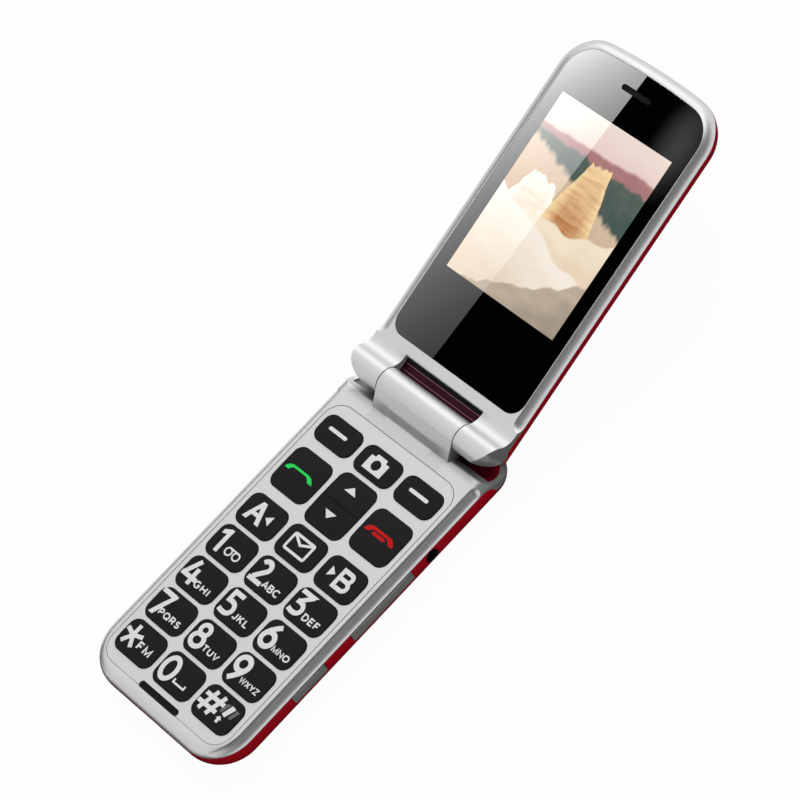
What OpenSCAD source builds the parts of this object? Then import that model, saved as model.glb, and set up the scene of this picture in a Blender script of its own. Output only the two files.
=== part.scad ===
// Flip phone with large keys, lying open on its back.
// Origin: centre of the flat back of the keypad half. +X points to the side keys, +Y to the hinge,
// +Z out of the keys. The lid is drawn in its own frame, whose origin is on the face line under the
// hinge axis, with +Y to the free end and +Z out of the screen, and lid_place() sets it on the hinge.

/* [Keypad half] */
// Width of the keypad half
base_w = 51; // [50:0.5:54]
// Length of the keypad half
base_len = 99.3; // [98.5:0.1:103]
// Thickness of the keypad half, from its flat back to its face
base_t = 9.6; // [9.4:0.1:11]
// Plan radius of the two front corners
front_r = 11; // [9:0.5:13]
// Plan radius of the two hinge corners
rear_r = 6.6; // [6.4:0.1:8]
// Radius of the long edges of the back
back_r = 6; // [5:0.1:6.2]
// Radius of the edge round the keypad face
face_r = 2.7; // [2:0.1:3]
// Depth of the joint line between the front shell and the rear housing, below the face
seam_depth = 1.9; // [1.7:0.1:2.1]
// Thickness of the outer walls
wall = 1.2; // [1:0.1:1.4]
// Radius of the cove along each long side of the face
cove_r = 2.15; // [1.8:0.05:2.3]
// Thickness of the lip between a cove and the joint line under it
lip = 0.15; // [0.1:0.05:0.3]

/* [Hinge] */
// Distance from the hinge axis to the rear end of the keypad half
hinge_back = 3.7; // [3.7:0.1:4.2]
// Height of the hinge axis above the keypad face
hinge_up = 2.35; // [2.2:0.05:2.6]
// Radius of the hinge barrel and of the lid's two ears
barrel_r = 3.65; // [3.4:0.05:3.8]
// Length of the hinge barrel
barrel_len = 26.7; // [26:0.1:29]
// Gap between the barrel's ends and the ears
ear_gap = 0.3; // [0.2:0.05:0.5]
// Gap between the keypad face and the lid's face when the lid is shut
shut_gap = 3; // [2.8:0.1:3.4]
// Angle that the lid opens to
open_angle = 163.3; // [150:0.1:165]

/* [Lid] */
// Width of the lid
lid_w = 49.6; // [49:0.1:51]
// Length of the lid from the hinge axis to its free end
lid_len = 95.3; // [95:0.1:100]
// Thickness of the lid
lid_t = 6.8; // [6.6:0.1:8]
// Plan radius of the lid's free corners
lid_corner_r = 10.5; // [9:0.5:12]
// Plan radius of the arched free end
lid_arch_r = 180; // [120:5:300]
// Radius of the lid's outer edge
lid_edge_r = 5.6; // [5:0.1:5.8]
// Depth of the lid's joint line below its face
lid_seam = 1.25; // [1.1:0.05:1.4]
// Radius of the cove round the lid's face
lid_cove_r = 3; // [2.6:0.05:3.1]
// Width of the lid's frame around the window
lid_frame = 2.6; // [2.4:0.1:3]
// Thickness of the window
window_t = 1; // [0.8:0.1:1.1]

/* [Screen] */
// Distance from the side of the lid to the display module
display_side = 3.4; // [3.3:0.1:4.5]
// Distance from the hinge axis to the near end of the display module
display_start = 22.4; // [21:0.1:24]
// Distance from the free end of the lid to the middle of the earpiece
earpiece_end = 7.6; // [7.2:0.1:8.5]
// Distance from the free end of the lid to the camera
camera_end = 23.3; // [20:0.1:30]

/* [Keys] */
// Gap between neighbouring keys, from side to side
key_space = 1.7; // [1.5:0.05:2]
// Spacing of the number rows
key_pitch_y = 10.2; // [10:0.05:10.3]
// Distance from the edge of the panel to the outer keys
panel_edge = 1.5; // [1.3:0.05:2]
// Height of a number key
key_h = 8.9; // [8.4:0.1:9]
// Height of a soft key
soft_h = 7.5; // [7:0.1:7.8]
// Height of the call and end keys
call_h = 12; // [11.5:0.1:12.2]
// Height of the navigation key
nav_h = 15.3; // [14.8:0.1:15.5]
// Plan radius of the keys' corners
key_r = 2.4; // [1.8:0.1:3]
// How far the keys stand out of the face
key_proud = 0.6; // [0.3:0.1:0.8]
// Travel of a key
key_travel = 0.35; // [0.2:0.05:0.4]
// Radius of the crown of the keys
key_crown_r = 80; // [50:5:200]
// Gap around a key in its hole
key_gap = 0.15; // [0.1:0.05:0.25]

/* [Keypad panel] */
// Distance from the side of the keypad half to its panel
panel_margin = 3.4; // [3.2:0.1:3.8]
// Thickness of the keypad panel
panel_t = 0.8; // [0.6:0.1:0.9]
// Plan radius of the panel's corners
panel_r = 5; // [4:0.5:6]
// Length of the microphone slot
mic_len = 14; // [10:0.5:16]
// Width of the microphone slot
mic_w = 1.8; // [1.2:0.1:2]

/* [Side keys] */
// Length of the volume rocker
rocker_len = 20.1; // [16:0.1:21]
// Length of the side key
side_key_len = 10.6; // [8:0.1:11]
// Height of the side keys
side_key_h = 2.4; // [2:0.1:2.6]
// How far the side keys stand out of the side
side_proud = 0.35; // [0.2:0.05:0.5]
// Radius of the headset socket
jack_r = 1.8; // [1.75:0.01:1.85]
// Depth of the headset socket
jack_len = 13; // [12:0.5:14]

/* [Inside] */
// Room at each side of the battery, for the side keys
battery_side = 8.5; // [8:0.5:10]
// Battery length
battery_len = 54; // [48:0.5:55]
// Battery thickness
battery_t = 4.3; // [3.8:0.1:4.4]
// Thickness of the circuit boards
board_t = 0.8; // [0.6:0.1:1]
// Length of the battery cover, from the front end
cover_len = 79.6; // [79:0.1:80]
// Running clearance of the hinge shafts
shaft_gap = 0.05; // [0.03:0.01:0.08]
// Radius of the housing screws
screw_r = 0.8; // [0.7:0.05:1]

/* [Hidden] */
$fn = 64;
eps = 0.01;
fit_gap = 0.1;

// Keypad half
half_w = base_w / 2;
front_y = -base_len / 2;
rear_y = base_len / 2;
seam_z = base_t - seam_depth;
rim_depth = back_r + 0.4;
axis_y = rear_y - hinge_back;
axis_z = base_t + hinge_up;
barrel_half = barrel_len / 2;
ear_in = barrel_half + ear_gap;
cove_x = half_w - 0.2;
cove_z = seam_z + lip + cove_r;
pocket_r = 5.85;
pocket_sink = 5.75;
lip_r = 1.2;
lip_rise = 0.02;
lip_y = -sqrt(pow(pocket_r + lip_r, 2) - pow(hinge_up + lip_r - lip_rise, 2));
lip_z = lip_rise - hinge_up - lip_r;
cove_back = rear_y - 12.5;
ring_w = 1.45;
skirt_z = 4.6;
skirt_y = rear_y - 7.6;
skirt_r = 3;
neck_y = -6.6;
neck_touch = 141;

// Keypad
panel_w = base_w - 2 * panel_margin;
key_w = (panel_w - 2 * panel_edge - 2 * key_space) / 3;
key_pitch_x = key_w + key_space;
panel_y0 = front_y + 3.9;
panel_y1 = rear_y - 13.7;
panel_z = base_t - panel_t;
flange_w = 0.4;
panel_ledge = panel_w / 2 - column(1) - key_w / 2 - flange_w - 0.2;
star_y = front_y + 11.4;
message_y = star_y + 4 * key_pitch_y;
call_y = message_y + 13.43;
soft_y = message_y + 26.22;
key_top = base_t + key_proud;
flange_t = 0.5;
flange_top = panel_z - fit_gap;
flange_z = flange_top - flange_t;
nav_drop = 0.2;
mic_y = star_y - 6.85;
nub_z = flange_z - key_travel - 0.05;
mat_t = 0.3;
board_z = nub_z - 0.5 - mat_t - 0.15 - board_t;
dome_z = board_z + board_t;
mat_z = dome_z + 0.15;

// Back, side keys and sockets
cover_z = 3.1;
cover_y = front_y + cover_len;
battery_w = base_w - 2 * battery_side;
bay_gap = 0.5;
battery_y = -10.2;
side_in = half_w - 1.4;
side_z = seam_z - 0.2 - side_key_h;
rocker_y = 4.4;
side_key_y = -19.9;
side_flange_x = side_in - 0.4;
side_flange_t = 0.7;
jack_y = 20.8;
jack_z = 5.65;
jack_body_h = 4;
jack_body_w = 6;
usb_w = 7.6;
usb_h = 2.6;
usb_z = board_z - 0.05 - usb_h / 2;
usb_deep = 5.5;
post_r = 1.9;
screw_head_r = 1.4;
screw_head_t = 0.6;
screw_x = half_w - 3.1;
screw_y = front_y + 3.15;
screw_at = [[screw_x, 26.4], [-screw_x, 26.4], [13, screw_y], [-13, screw_y]];
motor_at = [-9, front_y + 7.3, board_z - 1.9];
sos_x = 9;
sos_y = 36.6;
sos_r = 4.2;
speaker_x = -9;
speaker_y = 36.6;

// Lid
lid_half = lid_w / 2;
face_to_axis = shut_gap - hinge_up;
lid_tilt = 180 - open_angle;
arch_mid = lid_len - lid_arch_r;
arch_turn = asin((lid_half - lid_corner_r) / (lid_arch_r - lid_corner_r));
corner_y = arch_mid + (lid_arch_r - lid_corner_r) * cos(arch_turn);
corner_x = lid_half - lid_corner_r;
lid_rim_depth = lid_edge_r + 0.4;
lid_cove_x = lid_half - 0.1;
lid_cove_z = lip - lid_seam + lid_cove_r;
cove_end = 10.4;
slot_soft = 0.8;
fillet_y = 7.2;
fillet_r = (fillet_y * fillet_y + face_to_axis * face_to_axis - barrel_r * barrel_r) / (2 * (barrel_r + face_to_axis));
taper_y = 6.6;
taper_r = 9.9;
ear_plan_r = 7.9;
ear_plan_y = 4;
channel_r = barrel_r + 0.3;
shelf_z = -1.95;
lid_floor = -lid_t + 1;
window_y = 10.4;
earpiece_y = lid_len - earpiece_end;
earpiece_room = 5.1;
display_w = lid_w - 2 * display_side;
display_len = earpiece_y - earpiece_room - display_start;
display_y = display_start + display_len / 2;
display_t = 2.3;
display_z = -window_t - display_t;
lid_board_z = display_z - 0.1 - board_t;
slot_len = 9.4;
slot_w = 1.5;
camera_y = lid_len - camera_end;
camera_r = 4;
flash_x = 8;
flash_r = 1.6;

// Hinge pieces
cartridge_r = 2.4;
cartridge_len = 14;
shaft_r = 1.3;
shaft_len = 6;
follower_r = 2.6;
follower_len = 3.8;
bush_r = 2.2;
bush_bore = 1.5;
bush_in = 4;
bush_len = 9;
bush_end = bush_len - bush_in - ear_in;
flex_r = 1.1;

// ---- Shared shapes ----

// Rectangle with rounded corners, centred
module rounded_rect(w, h, r) {
    union() {
        square([w - 2 * r, h], center = true);
        square([w, h - 2 * r], center = true);
        for (x = [-1, 1], y = [-1, 1]) {
            translate([x * (w / 2 - r), y * (h / 2 - r)]) circle(r);
        }
    }
}

// Block with rounded corners in plan, standing on z
module rounded_block(w, h, r, z, t) {
    translate([0, 0, z]) linear_extrude(t) rounded_rect(w, h, r);
}

// Slot with round ends along X
module slot(len, w) {
    union() {
        square([len - w, w], center = true);
        for (x = [-1, 1]) translate([x * (len - w) / 2, 0]) circle(w / 2);
    }
}

// Cylinder along X from x0 to x1
module x_cylinder(r, x0, x1) {
    translate([x0, 0, 0]) rotate([0, 90, 0]) cylinder(r = r, h = x1 - x0);
}

// Extrudes a section drawn in Y and Z along X, from x0 to x1
module along_x(x0, x1) {
    translate([x0, 0, 0]) rotate([90, 0, 90]) linear_extrude(x1 - x0) children();
}

// Section of a housing's edge: x runs outward to 0 at the widest line, y runs up from the back
module edge_section(depth, h, low_r, top_r) {
    union() {
        translate([-depth, 0]) square([depth - low_r, h]);
        translate([-low_r - eps, low_r]) square([low_r - top_r + eps, h - low_r]);
        translate([-top_r - eps, low_r]) square([top_r + eps, h - low_r - top_r]);
        intersection() {
            translate([-low_r, low_r]) circle(low_r, $fn = 96);
            translate([-low_r - eps, 0]) square([low_r + eps, low_r + eps]);
        }
        translate([-top_r, h - top_r]) circle(top_r);
    }
}

// ---- Keypad half ----

// Plan of the keypad half, set in from its outline
module base_plan(inset) {
    w = half_w - inset;
    y0 = front_y + inset;
    y1 = rear_y - inset;
    r0 = front_r - inset;
    r1 = max(rear_r - inset, 0.2);
    union() {
        translate([-w, y0 + r0]) square([2 * w, y1 - r1 - y0 - r0]);
        translate([r0 - w, y0]) square([2 * (w - r0), 2 * r0]);
        translate([r1 - w, y1 - 2 * r1]) square([2 * (w - r1), 2 * r1]);
        for (s = [-1, 1]) {
            translate([s * (w - r0), y0 + r0]) circle(r0, $fn = 96);
            translate([s * (w - r1), y1 - r1]) circle(r1);
        }
    }
}

// Sweeps an edge section round the keypad half
module base_rim() {
    y0 = front_y + front_r;
    y1 = rear_y - rear_r;
    for (m = [0, 1]) mirror([m, 0, 0]) {
        translate([half_w, y1, 0]) rotate([90, 0, 0]) linear_extrude(y1 - y0) children();
        translate([half_w - front_r, y0, 0]) rotate([0, 0, -90]) rotate_extrude(angle = 90, $fn = 128)
            translate([front_r, 0]) children();
        translate([half_w - rear_r, y1, 0]) rotate_extrude(angle = 90, $fn = 128)
            translate([rear_r, 0]) children();
    }
    translate([half_w - front_r, front_y, 0]) rotate([90, 0, -90])
        linear_extrude(base_w - 2 * front_r) children();
    translate([rear_r - half_w, rear_y, 0]) rotate([90, 0, 90])
        linear_extrude(base_w - 2 * rear_r) children();
}

// Outer form of the keypad half
module base_body() {
    union() {
        base_rim() edge_section(rim_depth, base_t, back_r, face_r);
        linear_extrude(base_t) base_plan(rim_depth - 0.2);
    }
}

// Side view of what lies above the joint line, which drops around the hinge corners
module above_seam() {
    union() {
        translate([-base_len, seam_z]) square([2 * base_len, 20]);
        translate([skirt_y, skirt_z]) square([40, 20]);
        difference() {
            translate([skirt_y - skirt_r, seam_z - skirt_r]) square([skirt_r + eps, skirt_r + eps]);
            translate([skirt_y - skirt_r, seam_z - skirt_r]) circle(skirt_r);
        }
    }
}

// Scoop in which the lid's hinge end turns, as a side view about the axis
module pocket_section(r, sink) {
    union() {
        difference() {
            union() {
                circle(r, $fn = 96);
                polygon([[lip_y, lip_z], [0, 0], [lip_y, 0]]);
            }
            translate([lip_y, lip_z]) circle(lip_r);
        }
        translate([0, -sink]) square([20, 30]);
        translate([-r, 0]) square([r + 1, 30]);
    }
}

// Side view of the neck that carries the barrel
module neck_section() {
    touch = barrel_r * [cos(neck_touch), sin(neck_touch)];
    face = -hinge_up;
    union() {
        circle(barrel_r);
        polygon([
            [neck_y, face - seam_depth], [neck_y, face], touch, [0, 0],
            [-0.1, face - seam_depth]
        ]);
    }
}

// Cove along each side of the face, which fades out round the front corner and has a round rear end
module side_cove() {
    start = front_y + front_r;
    turn = front_r + 3;
    for (m = [0, 1]) mirror([m, 0, 0]) {
        translate([cove_x, cove_back, cove_z]) rotate([90, 0, 0]) cylinder(r = cove_r, h = cove_back - start);
        translate([cove_x, cove_back, cove_z]) intersection() {
            sphere(cove_r);
            translate([-5, 0, -5]) cube(10);
        }
        translate([cove_x - turn, start, 0]) rotate([0, 0, -90])
            rotate_extrude(angle = 90, $fn = 128) translate([turn, cove_z]) circle(cove_r);
    }
}

// Everything that the hinge end clears, from the front shell or the rear housing
module hinge_pockets(r, sink) {
    translate([0, axis_y, axis_z]) {
        for (m = [0, 1]) mirror([m, 0, 0]) along_x(barrel_half, half_w + 1) pocket_section(r, sink);
        along_x(-barrel_half - eps, barrel_half + eps) translate([-0.1, -sink]) square([20, 30]);
    }
}

// Panel outline and the place of each key on it
module panel_plan(grow) {
    translate([0, (panel_y0 + panel_y1) / 2])
        rounded_rect(panel_w + 2 * grow, panel_y1 - panel_y0 + 2 * grow, panel_r + grow);
}

function column(c) = c * key_pitch_x;
function number_row(n) = star_y + n * key_pitch_y;

// Every key as [column, middle, height]
key_places = [
    for (c = [-1:1]) for (n = [0:4]) [column(c), number_row(n), key_h],
    for (c = [-1:1]) [column(c), soft_y, soft_h],
    for (c = [-1, 1]) [column(c), call_y, call_h],
    [column(0), call_y, nav_h]
];

// Nubs of the mat: one under each key, and two under the rocking key
nub_places = [
    for (k = key_places) if (k[2] != nav_h) [k[0], k[1]],
    for (d = [-1, 1]) [column(0), call_y + d * nav_h * 0.3]
];

module front_shell() color([0.80, 0.80, 0.81]) {
    difference() {
        union() {
            difference() {
                intersection() {
                    base_body();
                    along_x(-half_w - 1, half_w + 1) above_seam();
                }
                // The skirt is only a ring around the hinge corners
                translate([0, 0, -1]) intersection() {
                    linear_extrude(seam_z + 1) base_plan(ring_w);
                    translate([-base_w, -base_len, 0]) cube([2 * base_w, 2 * base_len, seam_z + 1]);
                }
                hinge_pockets(pocket_r, pocket_sink);
                side_cove();
            }
            translate([0, axis_y, axis_z]) along_x(-barrel_half, barrel_half) neck_section();
        }
        // Seat and opening of the keypad panel
        translate([0, 0, panel_z]) linear_extrude(panel_t + 1) panel_plan(fit_gap);
        translate([0, 0, seam_z - 1]) linear_extrude(base_t) panel_plan(-panel_ledge);
        // Hinge bores
        translate([0, axis_y, axis_z]) {
            x_cylinder(cartridge_r, barrel_half - cartridge_len, barrel_half + 1);
            x_cylinder(bush_r + shaft_gap, -barrel_half - 1, bush_end + ear_gap);
        }
        // Seat of the microphone grille, across the panel's front edge
        translate([0, mic_y, panel_z - eps]) linear_extrude(panel_t + 1) slot(mic_len, mic_w);
        translate([0, mic_y, seam_z - 1]) linear_extrude(panel_z - seam_z + 1) slot(mic_len + 1.6, mic_w + 1.4);
        // Pilot holes for the housing screws
        for (p = screw_at) translate([p[0], p[1], seam_z - 1]) cylinder(r = screw_r, h = 2.2, $fn = 24);
    }
}

module keypad_panel() color([0.82, 0.82, 0.83]) {
    difference() {
        translate([0, 0, panel_z]) linear_extrude(panel_t) panel_plan(0);
        for (k = key_places) translate([k[0], k[1], 0])
            rounded_block(key_w + 2 * key_gap, k[2] + 2 * key_gap, key_r + key_gap, panel_z - 1, panel_t + 2);
        translate([0, mic_y, panel_z - 1]) linear_extrude(panel_t + 2) slot(mic_len, mic_w);
    }
}

module mic_grille() color([0.13, 0.13, 0.14]) {
    translate([0, mic_y, panel_z - 0.4]) linear_extrude(panel_t + 0.1) slot(mic_len - 0.1, mic_w - 0.1);
    translate([0, mic_y, panel_z - 0.7]) linear_extrude(0.5) slot(mic_len + 1.4, mic_w + 1.2);
}

// Keycap with its crown and the flange that holds it under the panel
module keycap(h, top_drop = 0) {
    intersection() {
        rounded_block(key_w, h, key_r, flange_z, key_top - flange_z);
        translate([0, 0, key_top - key_crown_r]) sphere(key_crown_r, $fn = 256);
    }
    rounded_block(key_w + 2 * flange_w, h + 2 * flange_w, key_r + flange_w, flange_z,
        flange_t - top_drop);
}

module key_at(c, y, h) color([0.14, 0.14, 0.15]) translate([column(c), y, 0]) keycap(h);

module left_soft_key() key_at(-1, soft_y, soft_h);
module camera_key() key_at(0, soft_y, soft_h);
module right_soft_key() key_at(1, soft_y, soft_h);
module call_key() key_at(-1, call_y, call_h);
module end_key() key_at(1, call_y, call_h);
module memory_a_key() key_at(-1, message_y, key_h);
module message_key() key_at(0, message_y, key_h);
module memory_b_key() key_at(1, message_y, key_h);
module key_1() key_at(-1, number_row(3), key_h);
module key_2() key_at(0, number_row(3), key_h);
module key_3() key_at(1, number_row(3), key_h);
module key_4() key_at(-1, number_row(2), key_h);
module key_5() key_at(0, number_row(2), key_h);
module key_6() key_at(1, number_row(2), key_h);
module key_7() key_at(-1, number_row(1), key_h);
module key_8() key_at(0, number_row(1), key_h);
module key_9() key_at(1, number_row(1), key_h);
module star_key() key_at(-1, number_row(0), key_h);
module key_0() key_at(0, number_row(0), key_h);
module hash_key() key_at(1, number_row(0), key_h);

// One rocking cap for up and down, with a groove across its middle
module nav_key() color([0.14, 0.14, 0.15]) translate([0, call_y, 0]) difference() {
    keycap(nav_h, nav_drop);
    translate([-key_w, -0.15, key_top - 0.3]) cube([2 * key_w, 0.3, 1]);
}

// Room for the headset socket in the boards and the mat
module jack_notch(grow) {
    translate([half_w - jack_len - 0.7 - grow, jack_y - jack_body_w / 2 - grow])
        square([jack_len + 4, jack_body_w + 2 * grow]);
}

// Outline shared by the board, the dome sheet and the mat
module board_plan(inset) {
    difference() {
        translate([0, (front_y + skirt_y) / 2 - 0.6])
            rounded_rect(2 * (side_flange_x - 3.4) - 2 * inset, skirt_y - front_y - 8.4 - 2 * inset, 5);
        jack_notch(0.3 + inset);
        for (p = screw_at) translate(p) circle(post_r + 0.3 + inset, $fn = 32);
    }
}

module keypad_mat() color([0.75, 0.75, 0.72]) {
    translate([0, 0, mat_z]) linear_extrude(mat_t) difference() {
        board_plan(0.6);
        translate([0, mic_y]) slot(6, 3.6);
    }
    for (p = nub_places) translate([p[0], p[1], mat_z + mat_t - eps])
        cylinder(r = 1.5, h = nub_z - mat_z - mat_t + eps, $fn = 24);
}

module dome_sheet() color([0.72, 0.66, 0.45]) {
    translate([0, 0, dome_z]) linear_extrude(mat_z - dome_z) difference() {
        board_plan(0.6);
        translate([0, mic_y]) slot(6, 3.6);
    }
}

module main_board() color([0.10, 0.35, 0.20]) {
    translate([0, 0, board_z]) linear_extrude(board_t) board_plan(0);
}

module microphone() color([0.70, 0.66, 0.50]) {
    translate([0, mic_y + 0.2, dome_z]) linear_extrude(panel_z - 0.75 - dome_z) slot(4.6, 2.2);
}

module shield_can() color([0.70, 0.71, 0.72]) {
    translate([-6, 24.5, board_z - 1.6]) difference() {
        rounded_block(20, 9, 0.8, 0, 1.6);
        rounded_block(19.6, 8.6, 0.6, 0.2, 3);
    }
}

module side_switches() color([0.75, 0.75, 0.76]) {
    for (y = [rocker_y - rocker_len / 2 + 2.5, rocker_y + rocker_len / 2 - 2.5, side_key_y])
        translate([side_flange_x - side_flange_t - 2.2, y - 1.9, side_z + 0.2])
            cube([1.8, 3.8, 2]);
    for (y = [rocker_y - rocker_len / 2 + 2.5, rocker_y + rocker_len / 2 - 2.5, side_key_y])
        translate([side_flange_x - side_flange_t - 3.8, y - 1.5, board_z - 0.5])
            cube([3.2, 3, 0.5]);
}

// Key in a side slot: the face seen outside, and a longer flange behind the wall
module side_cap(len, bulge) {
    h = side_key_h;
    x1 = half_w + side_proud;
    translate([0, 0, side_z]) intersection() {
        translate([side_flange_x - eps, -len / 2, 0]) cube([x1 - side_flange_x + eps, len, h]);
        translate([x1 - bulge, 0, -1]) cylinder(r = bulge, h = h + 2, $fn = 256);
        translate([x1 - 4, 0, h / 2]) rotate([90, 0, 0])
            translate([0, 0, -len]) cylinder(r = 4, h = 2 * len, $fn = 96);
    }
    translate([side_flange_x - side_flange_t, -len / 2 - 0.8, side_z - 0.5])
        cube([side_flange_t, len + 1.6, h + 0.5]);
}

module volume_rocker() color([0.43, 0.43, 0.42]) translate([0, rocker_y, 0]) side_cap(rocker_len, 180);
module side_key() color([0.43, 0.43, 0.42]) translate([0, side_key_y, 0]) side_cap(side_key_len, 45);

module emergency_key() color([0.12, 0.12, 0.13]) translate([sos_x, sos_y, 0]) {
    translate([0, 0, 0.25]) cylinder(r = sos_r, h = 1.4);
    translate([0, 0, wall + 0.15]) cylinder(r = sos_r + 0.8, h = 0.6);
}

// Posts that the front shell stands on at its screws
module screw_posts() {
    for (p = screw_at) translate([p[0], p[1], cover_z]) cylinder(r = post_r, h = seam_z - cover_z);
}

// Lower half without its openings
module rear_tray() {
    difference() {
        intersection() {
            base_body();
            union() {
                difference() {
                    translate([-base_w, -base_len, 0]) cube([2 * base_w, 2 * base_len, seam_z]);
                    along_x(-half_w - 1, half_w + 1) above_seam();
                }
                // Tub under the hinge, inside the front shell's ring
                translate([0, 0, skirt_z - 1]) linear_extrude(seam_z - skirt_z + 1) intersection() {
                    base_plan(ring_w + fit_gap);
                    translate([-base_w, skirt_y - skirt_r]) square([2 * base_w, 40]);
                }
            }
        }
        hinge_pockets(pocket_r + 0.3, pocket_sink + 0.3);
        // Room above the frame for the board
        translate([0, 0, cover_z + wall]) linear_extrude(seam_z) intersection() {
            base_plan(1.4);
            translate([-base_w, front_y]) square([2 * base_w, skirt_y - skirt_r - front_y]);
        }
        // Room for the loudspeaker and the emergency key
        translate([0, 0, wall]) linear_extrude(skirt_z - 1 - wall) intersection() {
            base_plan(back_r - 2.2);
            translate([-base_w, cover_y + wall]) square([2 * base_w, rear_y]);
        }
    }
    screw_posts();
}

module rear_housing() color([0.49, 0.04, 0.08]) {
    difference() {
        rear_tray();
        // Seat of the battery cover
        translate([-base_w, -base_len, -1]) cube([2 * base_w, base_len + cover_y, cover_z + 1]);
        // Battery bay
        translate([0, battery_y, 0]) rounded_block(battery_w + 2 * bay_gap, battery_len + 2 * bay_gap, 1, 0, 10);
        // Side key slots
        side_slot(rocker_y, rocker_len);
        side_slot(side_key_y, side_key_len);
        // Headset socket
        translate([0, jack_y, jack_z]) x_cylinder(jack_r + 0.15, side_in - 2, half_w + 1);
        translate([0, 0, cover_z - 1]) linear_extrude(wall + 2) intersection() {
            jack_notch(0.3);
            translate([0, -base_len]) square([side_in, 2 * base_len]);
        }
        // Charging socket, with its notch in the floor
        translate([0, front_y - 1, usb_z]) rotate([-90, 0, 0]) linear_extrude(4)
            rounded_rect(usb_w + 0.4, usb_h + 0.3, 1);
        translate([-usb_w / 2 - 0.3, front_y + 1.4, usb_z - usb_h / 2 - 0.15])
            cube([usb_w + 0.6, usb_deep, usb_h]);
        // Opening in the floor for the motor
        translate([motor_at[0] + 0.9, motor_at[1], 0]) rounded_block(10.6, 3.8, 0.5, cover_z - 1, wall + 2);
        // Loudspeaker slots and emergency key
        for (i = [-2:2]) translate([speaker_x, speaker_y + i * 1.7, -1]) linear_extrude(wall + 2) slot(11, 0.8);
        translate([sos_x, sos_y, -1]) cylinder(r = sos_r + key_gap, h = wall + 2);
        // Holes for the housing screws, with their heads sunk into the floor
        for (p = screw_at) translate([p[0], p[1], cover_z - 1]) {
            cylinder(r = screw_r + fit_gap, h = base_t);
            cylinder(r = screw_head_r + fit_gap, h = screw_head_t + 1.15);
        }
    }
}

// Opening for a side key, closed above by the front shell
module side_slot(y, len) {
    translate([side_in - 1, y - len / 2 - 0.15, side_z - 0.15])
        cube([4, len + 0.3, seam_z - side_z + 1]);
}

module housing_screws() color([0.55, 0.55, 0.57]) {
    for (p = screw_at) translate([p[0], p[1], 0]) {
        translate([0, 0, cover_z + 0.1]) cylinder(r = screw_head_r, h = screw_head_t, $fn = 32);
        translate([0, 0, cover_z + 0.1]) cylinder(r = screw_r, h = seam_z + 1 - cover_z, $fn = 24);
    }
}

module battery_cover() color([0.49, 0.04, 0.08]) {
    difference() {
        intersection() {
            base_body();
            translate([-base_w, -base_len, 0]) cube([2 * base_w, base_len + cover_y - fit_gap, cover_z - fit_gap]);
        }
        translate([0, 0, wall]) linear_extrude(cover_z) intersection() {
            base_plan(back_r - 2.2);
            translate([-base_w, -base_len]) square([2 * base_w, base_len + cover_y - 1.2]);
        }
    }
}

module battery() color([0.16, 0.17, 0.19]) {
    translate([0, battery_y, 0]) rounded_block(battery_w, battery_len, 1.5, wall + 0.1, battery_t);
}

module battery_contacts() color([0.85, 0.68, 0.30]) {
    y = battery_y + battery_len / 2 + bay_gap + 0.1;
    translate([-4, y, cover_z + wall]) cube([8, 2.2, board_z - cover_z - wall]);
    for (i = [-1:1]) translate([i * 2.4 - 0.5, y - bay_gap, cover_z + wall]) cube([1, bay_gap + eps, 1]);
}

module sim_card_holder() color([0.72, 0.73, 0.74]) {
    translate([-8, battery_y, board_z - 0.35]) cube([16, 14, 0.35]);
}

module loudspeaker() color([0.18, 0.18, 0.19]) {
    translate([speaker_x, speaker_y, 0]) {
        rounded_block(14, 9.6, 2, wall + 0.02, 2.1);
        rounded_block(10, 6, 1.5, wall + 2.1, 0.28);
    }
}

module vibration_motor() color([0.70, 0.71, 0.72]) {
    translate(motor_at) {
        x_cylinder(1.5, -4, 3);
        translate([-4, -1.5, 0.9]) cube([7, 3, 1]);
        x_cylinder(0.4, 3 - eps, 3.6);
        translate([3.5, 0, 0]) difference() {
            x_cylinder(1.45, 0, 1.8);
            translate([-1, -2, 0.3]) cube([4, 4, 2]);
        }
    }
}

module headset_jack() color([0.12, 0.12, 0.13]) {
    difference() {
        union() {
            translate([half_w - jack_len - 0.7, jack_y - jack_body_w / 2, jack_z - jack_body_h / 2])
                cube([side_in - 0.1 - half_w + jack_len + 0.7, jack_body_w, jack_body_h]);
            translate([0, jack_y, jack_z]) x_cylinder(jack_r + 0.1, side_in - 2, half_w - 0.3);
        }
        translate([0, jack_y, jack_z]) x_cylinder(jack_r, half_w - jack_len, half_w + 1);
    }
}

module usb_socket() color([0.68, 0.69, 0.71]) {
    translate([0, front_y + 0.3, usb_z]) rotate([-90, 0, 0]) difference() {
        linear_extrude(usb_deep) rounded_rect(usb_w, usb_h, 0.9);
        translate([0, 0, -1]) linear_extrude(usb_deep + 0.4) rounded_rect(usb_w - 0.7, usb_h - 0.7, 0.6);
    }
    translate([-1.8, front_y + 0.8, usb_z - 0.3]) cube([3.6, usb_deep - 0.7, 0.6]);
}

// ---- Hinge pieces ----

// Spring and cam cartridge, fixed in the barrel, whose shaft turns in the right ear
module hinge_cartridge() color([0.62, 0.62, 0.64]) translate([0, axis_y, axis_z]) {
    x_cylinder(cartridge_r, barrel_half - cartridge_len, barrel_half);
    x_cylinder(shaft_r, barrel_half - eps, ear_in + shaft_len);
}

// Flex cable, rolled where it passes through the left pivot bush
module flex_cable() color([0.55, 0.33, 0.12]) translate([0, axis_y, axis_z]) {
    x_cylinder(flex_r, -ear_in - bush_in - 0.6, bush_end + ear_gap);
}

// ---- Lid ----

module lid_place() {
    translate([0, axis_y, axis_z]) rotate([lid_tilt, 0, 0]) translate([0, 0, -face_to_axis]) children();
}

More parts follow.
